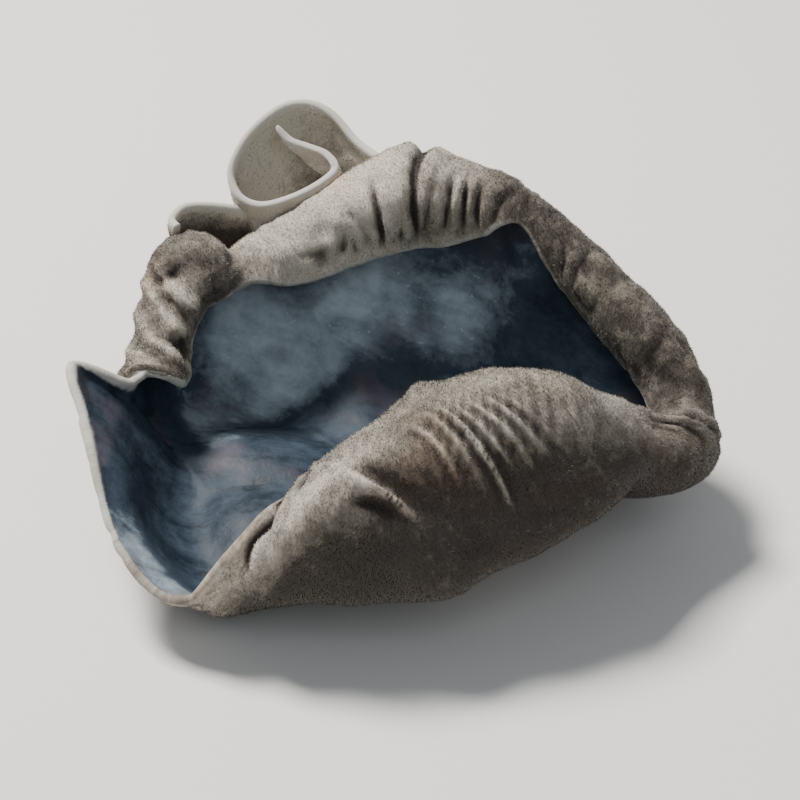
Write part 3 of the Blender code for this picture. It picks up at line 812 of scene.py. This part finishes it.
    def build(self) -> tuple[bpy.types.Object, Skin]:
        """Joins both faces, the rounded rim and the caps that close their middles into one closed skin.

        Returns:
            The piece and the face that the nap grows on.
        """
        points, angle, run, edge, zone = self.middle()
        normals = grid_normals(points, closed=True)
        share = self.edge / self.sheet + (1.0 - self.edge / self.sheet) * ease(edge / self.taper)
        half = (self.sheet / 2.0 * share)[..., None]
        inner_relief = 0.2 * zone["body"] * Grain(29)(points, 4.2) + 0.85 * zone["pleats"]
        inner_relief += 0.05 * zone["body"] * Grain(3)(points, 1.2)
        inner = points - normals * (half + inner_relief[..., None])
        outer = points + normals * (half - NAP_DEPTH * ease(edge / 1.0)[..., None])
        relief = self.wrinkles(outer, angle, run, edge, zone)
        outer = outer + normals * relief[..., None]
        outward = np.cross(np.gradient(points, axis=0)[:, -1], normals[:, -1])
        outward = unit(outward * np.sign((outward * (points[:, -1] - points[:, -2])).sum(-1))[:, None])
        strip = half_round(inner[:, -1], outer[:, -1], outward, 6)
        core = self.core(inner, -0.25)
        under = self.core(outer[:, :1], -0.1)[:, ::-1]
        path = np.concatenate([core, inner, strip, outer[:, ::-1], under], axis=1)
        poles = np.stack([path[:, 0].mean(axis=0), path[:, -1].mean(axis=0)])
        vertices = np.vstack([path.reshape(-1, 3), poles])
        piece = new_mesh("ear_skin", vertices, self.faces(path.shape[0], path.shape[1]))
        bloom_and_painted_light = self.bloom_and_painted_light(inner, angle, edge)
        # The tone gathers painted light: painted highlights on the lap's ridge and the slanting ridges, painted
        # shade in the lap's pit and in the grooves between the ridges
        tone = self.tone(angle, run, edge, zone) + self.lapped(angle, run, edge, zone)[1]
        ridge, groove = self.ridges(angle, run, edge, zone)
        tone = tone + 1.5 * ridge - 0.55 * groove
        self.dress(piece, core, inner, strip, under, angle, run, edge, relief, bloom_and_painted_light, tone)
        turn = np.radians(angle)
        flow = np.stack([15.0 * np.cos(turn), 15.0 * np.sin(turn), run], axis=-1)
        return piece, Skin(outer, grid_normals(outer, closed=True), edge, tone, relief, flow, True)

    def core(self, face: Array, dip: float) -> Array:
        """Rings of a face's middle: its first row drawn in to a point, dip lower."""
        shares = np.linspace(0.0, 1.0, 6)[1:-1][None, :, None]
        centre = face[:, 0].mean(axis=0) + np.array([0.0, 0.0, dip])
        rings = centre + (face[:, :1] - centre) * shares
        rings[..., 2] = centre[2] + (face[:, :1, 2] - centre[2]) * shares[..., 0] ** 2
        return rings

    def faces(self, angles: int, rows: int) -> list[Array]:
        """Four-sided faces of the grid and the fans that close its two poles."""
        index = np.arange(angles * rows).reshape(angles, rows)
        after = np.roll(index, -1, axis=0)
        quads = np.stack([index[:, :-1], after[:, :-1], after[:, 1:], index[:, 1:]], axis=-1)
        top = np.full(angles, angles * rows)
        fan_top = np.stack([top, after[:, 0], index[:, 0]], axis=-1)
        fan_bottom = np.stack([top + 1, index[:, -1], after[:, -1]], axis=-1)
        return [quads.reshape(-1, 4), np.vstack([fan_top, fan_bottom])]

    def dress(self, piece: bpy.types.Object, core: Array, inner: Array, strip: Array,
              under: Array, angle: Array, run: Array, edge: Array, relief: Array,
              bloom_and_painted_light: Array, tone: Array) -> None:
        """Stores the side, the distance from the rim, relief, the bloom with its painted light and shade, the tone
        with its painted highlights and shade, and flow.
        """
        shapes = [part.shape[:2] for part in (core, inner, strip, inner, under)]

        def path(top: float, hollow: Array, lip: Array, velvet: Array, base: float) -> Array:
            """One value per point of every path."""
            ends = np.full(shapes[0], top), np.full(shapes[4], base)
            return np.concatenate([ends[0], hollow, lip, velvet[:, ::-1], ends[1]], axis=1)

        blank, one, lip = np.zeros(shapes[1]), np.ones(shapes[1]), np.zeros(shapes[2])
        length = path(0.0, run, np.repeat(run[:, -1:], shapes[2][1], axis=1), run, 0.0)
        turn = np.radians(angle[:, :1]) + np.zeros_like(length)
        flow = np.stack([15.0 * np.cos(turn), 15.0 * np.sin(turn), length], axis=-1)
        give(piece, "side", np.append(path(0.0, blank, lip + 1.0, one, 1.0).ravel(), (0.0, 1.0)))
        worn = 0.42 * (1.0 - near(angle, 194.0, 26.0, 10.0)) - 0.12 * near(angle, 186.0, 14.0, 8.0)
        worn = worn - 0.34 * near(angle, 98.0, 38.0, 10.0) - 0.3 * near(angle, 160.0, 14.0, 8.0)
        worn = worn + 0.24 * near(angle, 226.0, 8.0, 10.0)
        rim = path(20.0, edge + worn + 0.3, lip + worn[:, -1:], edge + worn, 20.0)
        give(piece, "rim", np.append(rim.ravel(), (20.0, 20.0)))
        give(piece, "tone", np.append(path(0.0, blank, lip, tone, 0.0).ravel(), (0.0, 0.0)))
        give(piece, "relief", np.append(path(0.0, blank, lip, relief, 0.0).ravel(), (0.0, 0.0)))
        middle = float(bloom_and_painted_light[:, 0].mean())
        give(piece, "bloom_and_painted_light", np.append(path(middle, bloom_and_painted_light, lip, blank, 0.0).ravel(), (middle, 0.0)))
        give(piece, "cut", np.zeros(length.size + 2))
        give(piece, "flow", np.vstack([flow.reshape(-1, 3), np.zeros((2, 3))]))


@dataclass
class Stub:
    """The short neck under the cup and its flat fibrous cut."""

    name: str = "ear_stub"
    sides: int = 180
    corners: tuple = ((1.9, 2.5), (-1.5, 2.7), (-3.2, -1.9), (2.9, -2.6))
    roundness: float = 9.0
    neck_radius: float = 2.95
    neck_height: float = 0.5
    top_radius: float = 3.4
    top_height: float = 1.6
    lobes: int = 5
    lobe_depth: float = 0.06
    groove: float = 0.03
    grooves: int = 44
    buried: tuple = (0.0, 0.5, 0.9)
    heights: tuple = (1.6, 1.45, 1.2, 0.95, 0.7, 0.5, 0.35, 0.2, 0.08, 0.02, 0.0)
    rings: tuple = (0.97, 0.85, 0.7, 0.5, 0.32, 0.16)

    def cut_radius(self, turn: Array) -> Array:
        """The cut's outline: (sum over its sides of clip(n.u / d, 0)^p)^(-1/p).

        Args:
            turn: headings u from the middle, in radians.

        Returns:
            Its radius at each heading, where n is a side's normal and d its distance.
        """
        points = np.array(self.corners)
        side = np.roll(points, -1, axis=0) - points
        normal = unit(np.stack([side[:, 1], -side[:, 0]], axis=-1))
        normal = normal * np.sign((normal * points).sum(axis=-1))[:, None]
        heading = np.stack([np.cos(turn), np.sin(turn)], axis=-1)
        share = heading @ normal.T / (normal * points).sum(axis=-1)
        return (np.clip(share, 0.0, None) ** self.roundness).sum(axis=-1) ** (-1.0 / self.roundness)

    def radius(self, turn: Array, height: float) -> Array:
        """The outline at a height: the cut's, then the neck's, then the wider top's."""
        wavy = 1.0 + self.lobe_depth * np.sin(self.lobes * turn + 1.0)
        up = np.clip(height / self.neck_height, 0.0, 1.0)
        over = np.clip((height - self.neck_height) / (self.top_height - self.neck_height), 0.0, 1.0)
        neck = (self.neck_radius + (self.top_radius - self.neck_radius) * over) * wavy
        grooved = 1.0 + self.groove * (up - over) * np.sin(self.grooves * turn + 3.0 * np.sin(3.0 * turn))
        return (self.cut_radius(turn) * (1.0 - up) + neck * up) * grooved

    def build(self) -> bpy.types.Object:
        """Rings from inside the cup's wall down the neck and over the cut."""
        turn = np.linspace(0.0, 2.0 * math.pi, self.sides, endpoint=False)
        ring = np.stack([np.cos(turn), np.sin(turn), np.zeros_like(turn)], axis=-1)
        rows = [(share, self.top_height) for share in self.buried[1:]]
        rows += [(1.0, height) for height in self.heights]
        rows += [(share, 0.0) for share in self.rings]
        lines = [ring * (share * self.radius(turn, height))[:, None] for share, height in rows]
        path = np.stack(lines, axis=1)
        path[..., 2] = np.array([height for _, height in rows])
        count, size = path.shape[:2]
        index = np.arange(count * size).reshape(count, size)
        after = np.roll(index, -1, axis=0)
        quads = np.stack([index[:, :-1], after[:, :-1], after[:, 1:], index[:, 1:]], axis=-1)
        top = np.full(count, count * size)
        fans = np.vstack([np.stack([top, after[:, 0], index[:, 0]], axis=-1),
                          np.stack([top + 1, index[:, -1], after[:, -1]], axis=-1)])
        vertices = np.vstack([path.reshape(-1, 3), [[0.0, 0.0, self.top_height], [0.0, 0.0, 0.0]]])
        piece = new_mesh(self.name, vertices + np.array(STUB_PLACE), [quads.reshape(-1, 4), fans])
        cut = np.tile([float(height == 0.0) for _, height in rows], count)
        give(piece, "side", np.full(len(vertices), Side.VELVET.value))
        give(piece, "rim", np.full(len(vertices), 20.0))
        for name in ("relief", "bloom_and_painted_light", "tone"):
            give(piece, name, np.zeros(len(vertices)))
        give(piece, "cut", np.append(cut, (0.0, 1.0)))
        give(piece, "flow", vertices)
        return piece


@dataclass
class Lobe:
    """A small thin lobe behind the rim, closed on every side."""

    name: str
    thickness: float = 0.8
    edge: float = 0.55
    taper: float = 4.0
    wrinkle: float = 0.12
    pit: float = 0.16
    pit_size: float = 2.6
    tone: float = 1.5
    fade: float = 0.25
    darkest: float = 0.0

    def bowed(self, foot: Array, swell: Array, line: Array, rows: int) -> Array:
        """(1-s)^2 foot + 2s(1-s) swell + s^2 edge, from the foot to the edge."""
        share = np.linspace(0.0, 1.0, rows + 1)[None, :, None]
        return (1 - share) ** 2 * foot[:, None] + 2 * share * (1 - share) * swell[:, None] + share**2 * line[:, None]

    def build(self, middle: Array) -> tuple[bpy.types.Object, list[Skin]]:
        """Both faces of a sheet joined by a rounded edge all round.

        Args:
            middle: the middle surface, from its foot to its free edge.

        Returns:
            The piece and its two faces for the nap.
        """
        length = np.linalg.norm(np.diff(middle, axis=1), axis=-1)
        to_edge = np.cumsum(length[:, ::-1], axis=1)[:, ::-1]
        edge = np.concatenate([to_edge, np.zeros((len(middle), 1))], axis=1)
        normals = grid_normals(middle, closed=False)
        share = self.edge / self.thickness + (1.0 - self.edge / self.thickness) * ease(edge / self.taper)
        half = (self.thickness / 2.0 * share)[..., None]
        relief = self.wrinkle * Grain(11)(middle, 1.3) + self.wrinkle * 1.4 * Grain(3)(middle, 2.6)
        relief -= self.pit * ease(Grain(17)(middle, self.pit_size) / 0.45) * ease((edge - 0.9) / 1.2)
        shift = normals * (relief * ease(edge / 1.0))[..., None]
        half = half - NAP_DEPTH * ease(edge / 1.0)[..., None]
        inner, outer = middle + normals * half + shift, middle - normals * half + shift
        outward = unit(middle[:, -1] - middle[:, -2])
        strip = half_round(inner[:, -1], outer[:, -1], outward, 4)
        path = np.concatenate([inner, strip, outer[:, ::-1]], axis=1)
        return self.close(path, relief, strip.shape[1], edge, normals, inner, outer)

    def close(self, path: Array, relief: Array, rim_rows: int, edge: Array,
              normals: Array, inner: Array, outer: Array) -> tuple[bpy.types.Object, list[Skin]]:
        """Faces of the loops, flat strips at both ends, and the attributes."""
        count, size = path.shape[:2]
        index = np.arange(count * size).reshape(count, size)
        after = np.roll(index, -1, axis=1)
        quads = np.stack([index[:-1], index[1:], after[1:], after[:-1]], axis=-1).reshape(-1, 4)
        caps = []
        for row, flip in ((0, False), (count - 1, True)):
            left = index[row, : size // 2]
            right = index[row, ::-1][: size // 2]
            cap = np.stack([left[:-1], left[1:], right[1:], right[:-1]], axis=-1)
            caps.append(cap[:, ::-1] if flip else cap)
        piece = new_mesh(self.name, path.reshape(-1, 3), [quads, np.vstack(caps)])
        rim = np.concatenate([edge, np.zeros((count, rim_rows)), edge[:, ::-1]], axis=1)
        give(piece, "side", np.ones(rim.size))
        give(piece, "rim", rim.ravel())
        depth = np.concatenate([relief, np.zeros((count, rim_rows)), -relief[:, ::-1]], axis=1) / 2.0
        give(piece, "relief", depth.ravel())
        give(piece, "cut", np.zeros(rim.size))
        give(piece, "bloom_and_painted_light", np.zeros(rim.size))
        # Paler at the edge and darker further in; on the frill the dark part is painted shade
        tone = np.maximum(self.tone - self.fade * edge, self.darkest)
        give(piece, "tone", np.maximum(self.tone - self.fade * rim, self.darkest).ravel())
        give(piece, "flow", path.reshape(-1, 3))
        faces = ((inner, normals, relief / 2.0), (outer, -normals, -relief / 2.0))
        return piece, [Skin(face, out, edge, tone, high, face, False) for face, out, high in faces]


@dataclass
class Curl(Lobe):
    """The curled lobe: a spiral edge that narrows and unrolls to a root."""

    name: str = "ear_curl"
    root: tuple = (-4.9, 14.9, 9.6)
    swell: tuple = (-5.6, 17.6, 13.6)
    root_scale: float = 0.2
    unrolled: float = 0.42
    steps: int = 260
    rows: int = 70

    def middle(self) -> Array:
        """The spiral sheet: each row ends where the lobe has unrolled to."""
        line = smooth_line(CURL_EDGE, 400)
        spread = line - line.mean(axis=0)
        fine = self.bowed(np.array(self.root) + spread * self.root_scale,
                          np.array(self.swell) + spread, line, self.rows)
        rolled = self.unrolled + (1.0 - self.unrolled) * np.linspace(0.0, 1.0, self.rows + 1)
        at = np.linspace(0.0, 1.0, self.steps + 1)[:, None] * rolled * (len(line) - 1)
        low = np.minimum(np.floor(at).astype(int), len(line) - 2)
        part = (at - low)[..., None]
        column = np.arange(self.rows + 1)[None, :]
        return fine[low, column] * (1.0 - part) + fine[low + 1, column] * part


@dataclass
class Frill(Lobe):
    """The low narrow lobe beside the curl."""

    name: str = "ear_frill"
    # Painted shade: past a pale edge the frill's face fades to dark
    fade: float = 1.5
    darkest: float = -1.6
    bulge: tuple = (-0.2, 0.6, 0.0)
    steps: int = 120
    rows: int = 40

    def middle(self) -> Array:
        """A bowed sheet from its foot in the wall to its edge."""
        line = smooth_line(FRILL_EDGE, self.steps + 1)
        foot = smooth_line(FRILL_FOOT, self.steps + 1)
        return self.bowed(foot, (foot + line) / 2.0 + np.array(self.bulge), line, self.rows)


class Tree:
    """Short calls for building one material's nodes."""

    def __init__(self, name: str) -> None:
        """Starts a material with its shader and its object coordinates."""
        self.material = bpy.data.materials.new(name)
        self.material.use_nodes = True
        self.nodes = self.material.node_tree.nodes
        self.shader = self.nodes["Principled BSDF"]
        self.place = self.nodes.new("ShaderNodeTexCoord").outputs["Object"]

    def join(self, source: object, target: bpy.types.NodeSocket) -> None:
        """Links a socket, or sets a plain value."""
        if isinstance(source, bpy.types.NodeSocket):
            self.material.node_tree.links.new(source, target)
        else:
            target.default_value = source

    def attribute(self, name: str, vector: bool = False) -> bpy.types.NodeSocket:
        """The value of a point attribute."""
        node = self.nodes.new("ShaderNodeAttribute")
        node.attribute_name = name
        return node.outputs["Vector" if vector else "Fac"]

    def noise(self, place: object, scale: float, detail: float = 3.0, rough: float = 0.55,
              bend: float = 0.0) -> bpy.types.NodeSocket:
        """Fractal noise at a place, in cells per unit of the place."""
        node = self.nodes.new("ShaderNodeTexNoise")
        self.join(place, node.inputs["Vector"])
        node.inputs["Scale"].default_value = scale
        node.inputs["Detail"].default_value = detail
        node.inputs["Roughness"].default_value = rough
        node.inputs["Distortion"].default_value = bend
        return node.outputs["Fac"]

    def stretch(self, place: object, scale: tuple) -> bpy.types.NodeSocket:
        """A place with each direction scaled."""
        node = self.nodes.new("ShaderNodeMapping")
        self.join(place, node.inputs["Vector"])
        node.inputs["Scale"].default_value = scale
        return node.outputs["Vector"]

    def turned(self, place: object, angle: float, scale: tuple) -> bpy.types.NodeSocket:
        """A place turned about the axis from front to back, then each direction scaled."""
        node = self.nodes.new("ShaderNodeVectorRotate")
        node.rotation_type = "Y_AXIS"
        node.inputs["Angle"].default_value = math.radians(angle)
        self.join(place, node.inputs["Vector"])
        return self.stretch(node.outputs["Vector"], scale)

    def ramp(self, factor: object, *stops: tuple[float, Colour]) -> bpy.types.NodeSocket:
        """Colours along a ramp."""
        node = self.nodes.new("ShaderNodeValToRGB")
        band = node.color_ramp
        while len(band.elements) < len(stops):
            band.elements.new(0.5)
        for element, (at, colour) in zip(band.elements, stops):
            element.position = at
            element.color = (*colour, 1.0)
        self.join(factor, node.inputs["Fac"])
        return node.outputs["Color"]

    def span(self, value: object, low: float, high: float, start: float = 0.0,
             end: float = 1.0) -> bpy.types.NodeSocket:
        """The value eased from low to high into start to end."""
        node = self.nodes.new("ShaderNodeMapRange")
        node.interpolation_type = "SMOOTHSTEP"
        self.join(value, node.inputs["Value"])
        for name, number in (("From Min", low), ("From Max", high), ("To Min", start), ("To Max", end)):
            node.inputs[name].default_value = number
        return node.outputs["Result"]

    def mix(self, factor: object, first: object, second: object, kind: str = "MIX") -> bpy.types.NodeSocket:
        """Two colours mixed or blended."""
        node = self.nodes.new("ShaderNodeMix")
        node.data_type = "RGBA"
        node.blend_type = kind
        self.join(factor, node.inputs[0])
        for source, target in ((first, node.inputs[6]), (second, node.inputs[7])):
            self.join((*source, 1.0) if isinstance(source, tuple) else source, target)
        return node.outputs[2]

    def sum(self, kind: str, first: object, second: object) -> bpy.types.NodeSocket:
        """Two numbers added, multiplied or otherwise worked out."""
        node = self.nodes.new("ShaderNodeMath")
        node.operation = kind
        self.join(first, node.inputs[0])
        self.join(second, node.inputs[1])
        return node.outputs[0]

    def bump(self, height: object, strength: float, distance: float, under: object = None) -> bpy.types.NodeSocket:
        """A normal bent by a height, on top of another one if given."""
        node = self.nodes.new("ShaderNodeBump")
        node.inputs["Strength"].default_value = strength
        node.inputs["Distance"].default_value = distance
        self.join(height, node.inputs["Height"])
        if under is not None:
            self.join(under, node.inputs["Normal"])
        return node.outputs["Normal"]


@dataclass(frozen=True)
class EarFinish:
    """Velvet outside, smooth dark hollow, pale rim edge and fibrous cut."""

    # The darkest and palest velvet colours also stand for painted shade and painted highlights
    velvet_low_and_shade: Colour = (0.048, 0.040, 0.034)
    velvet: Colour = (0.215, 0.190, 0.157)
    velvet_high_and_highlight: Colour = (0.50, 0.462, 0.387)
    warm: Colour = (0.62, 0.42, 0.33)
    green: Colour = (0.40, 0.47, 0.36)
    # The darkest and palest hollow colours also stand for painted shade and painted light
    hollow_low_and_shade: Colour = (0.010, 0.017, 0.026)
    hollow: Colour = (0.046, 0.066, 0.090)
    hollow_high_and_light: Colour = (0.42, 0.50, 0.55)
    violet: Colour = (0.085, 0.062, 0.08)
    rim: Colour = (0.47, 0.462, 0.42)
    cut_low: Colour = (0.20, 0.145, 0.10)
    cut: Colour = (0.36, 0.275, 0.19)

    def velvet_colour(self, tree: "Tree", flow: object, relief: object) -> bpy.types.NodeSocket:
        """Mottled velvet: patches, clouds and specks, with the painted highlights and shade of the tone, and painted
        shade in the creases.
        """
        patches = tree.noise(tree.place, 150.0, 3.0, 0.5)
        clouds = tree.noise(tree.place, 700.0, 4.0, 0.62, 0.4)
        specks = tree.noise(tree.stretch(flow, (3.6, 3.6, 2.4)), 1.0, 4.0, 0.75, 0.3)
        shade = tree.sum("ADD", tree.sum("MULTIPLY", patches, 0.28), tree.sum("MULTIPLY", clouds, 0.36))
        shade = tree.sum("ADD", shade, tree.sum("MULTIPLY", specks, 0.3))
        shade = tree.sum("ADD", shade, 0.03)
        # The tone brings painted highlights and painted shade into the velvet
        shade = tree.sum("ADD", shade, tree.sum("MULTIPLY", tree.attribute("tone"), 0.17))
        colour = tree.ramp(shade, (0.32, self.velvet_low_and_shade), (0.49, self.velvet), (0.66, self.velvet_high_and_highlight))
        hue = tree.noise(tree.place, 105.0, 3.0)
        colour = tree.mix(tree.span(hue, 0.53, 0.7, 0.0, 0.5), colour, self.warm, "SOFT_LIGHT")
        colour = tree.mix(tree.span(hue, 0.47, 0.3, 0.0, 0.5), colour, self.green, "SOFT_LIGHT")
        # Painted shade: creases and pits of the relief take the darkest velvet colour
        return tree.mix(tree.span(relief, -0.03, -0.4), colour, self.velvet_low_and_shade)

    def hollow_colour(self, tree: "Tree", dust_and_painted_light: object) -> bpy.types.NodeSocket:
        """Dark skin with a pale mottled bloom, partly painted light and shade, and faint violet patches."""
        colour = tree.ramp(dust_and_painted_light, (0.2, self.hollow_low_and_shade), (0.46, self.hollow), (0.86, self.hollow_high_and_light))
        tint = tree.noise(tree.place, 230.0, 2.0)
        return tree.mix(tree.span(tint, 0.54, 0.68, 0.0, 0.42), colour, self.violet)

    def build(self) -> bpy.types.Material:
        """The material, mixed by the side, rim, relief and cut attributes."""
        tree = Tree("dried_ear")
        flow = tree.attribute("flow", vector=True)
        side, rim, relief, bloom_and_painted_light = (tree.attribute(name) for name in ("side", "rim", "relief", "bloom_and_painted_light"))
        fibres = tree.noise(tree.stretch(tree.place, (900.0, 2600.0, 900.0)), 1.0, 4.0, 0.7, 0.5)
        cut = tree.mix(tree.span(fibres, 0.38, 0.62), self.cut_low, self.cut)
        velvet = tree.mix(tree.attribute("cut"), self.velvet_colour(tree, flow, relief), cut)
        coarse = tree.noise(tree.place, 260.0, 6.0, 0.68, 0.6)
        fine = tree.noise(tree.place, 1500.0, 4.0, 0.7)
        streaks = tree.noise(tree.turned(tree.place, -24.0, (190.0, 600.0, 620.0)), 1.0, 5.0, 0.62, 0.7)
        dust_and_painted_light = tree.sum("ADD", tree.sum("MULTIPLY", coarse, 0.3), tree.sum("MULTIPLY", fine, 0.25))
        dust_and_painted_light = tree.sum("ADD", dust_and_painted_light, tree.sum("MULTIPLY", streaks, 0.5))
        dust_and_painted_light = tree.sum("SUBTRACT", dust_and_painted_light, 0.02)
        # The bloom brings in painted light and painted shade with the pale bloom
        dust_and_painted_light = tree.sum("ADD", dust_and_painted_light, tree.sum("MULTIPLY", bloom_and_painted_light, 0.42))
        dust_and_painted_light = tree.sum("SUBTRACT", dust_and_painted_light, 0.2)
        specks = tree.span(tree.noise(tree.place, 2900.0, 2.0), 0.66, 0.74, 0.0, 0.16)
        dust_and_painted_light = tree.sum("ADD", dust_and_painted_light, tree.sum("MULTIPLY", specks, tree.span(bloom_and_painted_light, 0.1, 0.6)))
        colour = tree.mix(side, self.hollow_colour(tree, dust_and_painted_light), velvet)
        worn = tree.sum("ADD", rim, tree.sum("MULTIPLY", tree.noise(flow, 1.1, 4.0, 0.65), 1.0))
        patchy = tree.span(tree.noise(tree.place, 380.0, 3.0, 0.6), 0.34, 0.6, 0.5, 1.0)
        colour = tree.mix(tree.sum("MULTIPLY", tree.span(worn, 0.9, 0.42), patchy), colour, self.rim)
        tree.join(colour, tree.shader.inputs["Base Color"])
        hollow_rough = tree.span(dust_and_painted_light, 0.2, 0.6, 0.5, 0.76)
        rough = tree.sum("MAXIMUM", hollow_rough, tree.sum("MULTIPLY", side, 0.92))
        tree.join(rough, tree.shader.inputs["Roughness"])
        tree.join(tree.span(side, 0.0, 1.0, 0.22, 0.2), tree.shader.inputs["Specular IOR Level"])
        tree.join(tree.sum("MULTIPLY", side, 0.3), tree.shader.inputs["Sheen Weight"])
        tree.shader.inputs["Sheen Roughness"].default_value = 0.45
        tree.shader.inputs["Sheen Tint"].default_value = (0.85, 0.83, 0.78, 1.0)
        hairs = tree.noise(tree.stretch(flow, (9.0, 9.0, 5.0)), 1.0, 3.0, 0.7)
        bumps = tree.mix(side, tree.noise(tree.place, 1500.0, 4.0, 0.6), hairs)
        tree.join(tree.bump(bumps, 0.4, 0.00014), tree.shader.inputs["Normal"])
        return tree.material


@dataclass
class Studio:
    """Pale floor, soft light from behind on the left, and the camera."""

    elevation: float = 35.0
    lens: float = 100.0
    width: float = 0.052
    target: tuple = (0.0, -0.0005, 0.0085)
    floor_colour: Colour = (0.72, 0.71, 0.69)

    def build(self) -> None:
        """Adds everything that isn't part of the object."""
        self.floor()
        self.light("key", (-0.13, 0.085, 0.33), 0.10, 3.0, (1.0, 0.975, 0.94))
        self.light("fill", (0.05, -0.3, 0.3), 0.3, 0.4, (0.9, 0.95, 1.0))
        world = bpy.data.worlds.new("studio")
        bpy.context.scene.world = world
        world.use_nodes = True
        world.node_tree.nodes["Background"].inputs["Color"].default_value = (0.86, 0.9, 0.96, 1.0)
        world.node_tree.nodes["Background"].inputs["Strength"].default_value = 0.27
        self.camera()

    def floor(self) -> None:
        """A wide plain floor at the height of the cut base."""
        mesh = bpy.data.meshes.new("floor")
        size = 3.0
        corners = [(-size, -size, 0.0), (size, -size, 0.0), (size, size, 0.0), (-size, size, 0.0)]
        mesh.from_pydata(corners, [], [(0, 1, 2, 3)])
        floor = bpy.data.objects.new("floor", mesh)
        bpy.context.scene.collection.objects.link(floor)
        material = bpy.data.materials.new("floor_paper")
        material.use_nodes = True
        shader = material.node_tree.nodes["Principled BSDF"]
        shader.inputs["Base Color"].default_value = (*self.floor_colour, 1.0)
        shader.inputs["Roughness"].default_value = 0.9
        mesh.materials.append(material)

    def light(self, name: str, place: tuple, size: float, power: float, colour: Colour) -> None:
        """A square soft light turned towards the object."""
        lamp = bpy.data.lights.new(name, "AREA")
        lamp.size = size
        lamp.energy = power
        lamp.color = colour
        item = bpy.data.objects.new(name, lamp)
        item.location = place
        item.rotation_mode = "QUATERNION"
        item.rotation_quaternion = (Vector(self.target) - Vector(place)).to_track_quat("-Z", "Y")
        bpy.context.scene.collection.objects.link(item)

    def camera(self) -> None:
        """The camera in front, looking down at the photograph's angle."""
        camera = bpy.data.cameras.new("camera")
        camera.lens = self.lens
        camera.clip_start = 0.01
        item = bpy.data.objects.new("camera", camera)
        slant = math.radians(self.elevation)
        back = Vector((0.0, -math.cos(slant), math.sin(slant)))
        distance = self.width * self.lens / camera.sensor_width
        item.location = Vector(self.target) + back * distance
        item.rotation_mode = "QUATERNION"
        item.rotation_quaternion = (-back).to_track_quat("-Z", "Y")
        bpy.context.scene.collection.objects.link(item)
        bpy.context.scene.camera = item


def settle(piece: bpy.types.Object, material: bpy.types.Material) -> None:
    """Gives a piece its finish and its body, and hides the imported node it stands for."""
    piece.data.materials.append(material)
    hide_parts(NODE)
    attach(piece, BODY)
    log.info("%s: %d faces", piece.name, len(piece.data.polygons))


def main() -> None:
    """Builds the ear, its lobes and the studio."""
    logging.basicConfig(level=logging.INFO, format="%(message)s")
    finish = EarFinish().build()
    cup, velvet = Cup().build()
    settle(cup, finish)
    settle(Stub().build(), finish)
    for part in range(3):
        settle(Nap(f"nap_{part + 1}", 140000, 40 + part).build(velvet), finish)
    for lobe, count in ((Curl(), 16000), (Frill(), 7000)):
        piece, skins = lobe.build(lobe.middle())
        settle(piece, finish)
        for skin, face in zip(skins, ("inside", "outside")):
            nap = Nap(f"{lobe.name}_nap_{face}", count, 50 + count % 7)
            settle(nap.build(skin), finish)
    Studio().build()
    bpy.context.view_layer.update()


if __name__ == "__main__":
    main()
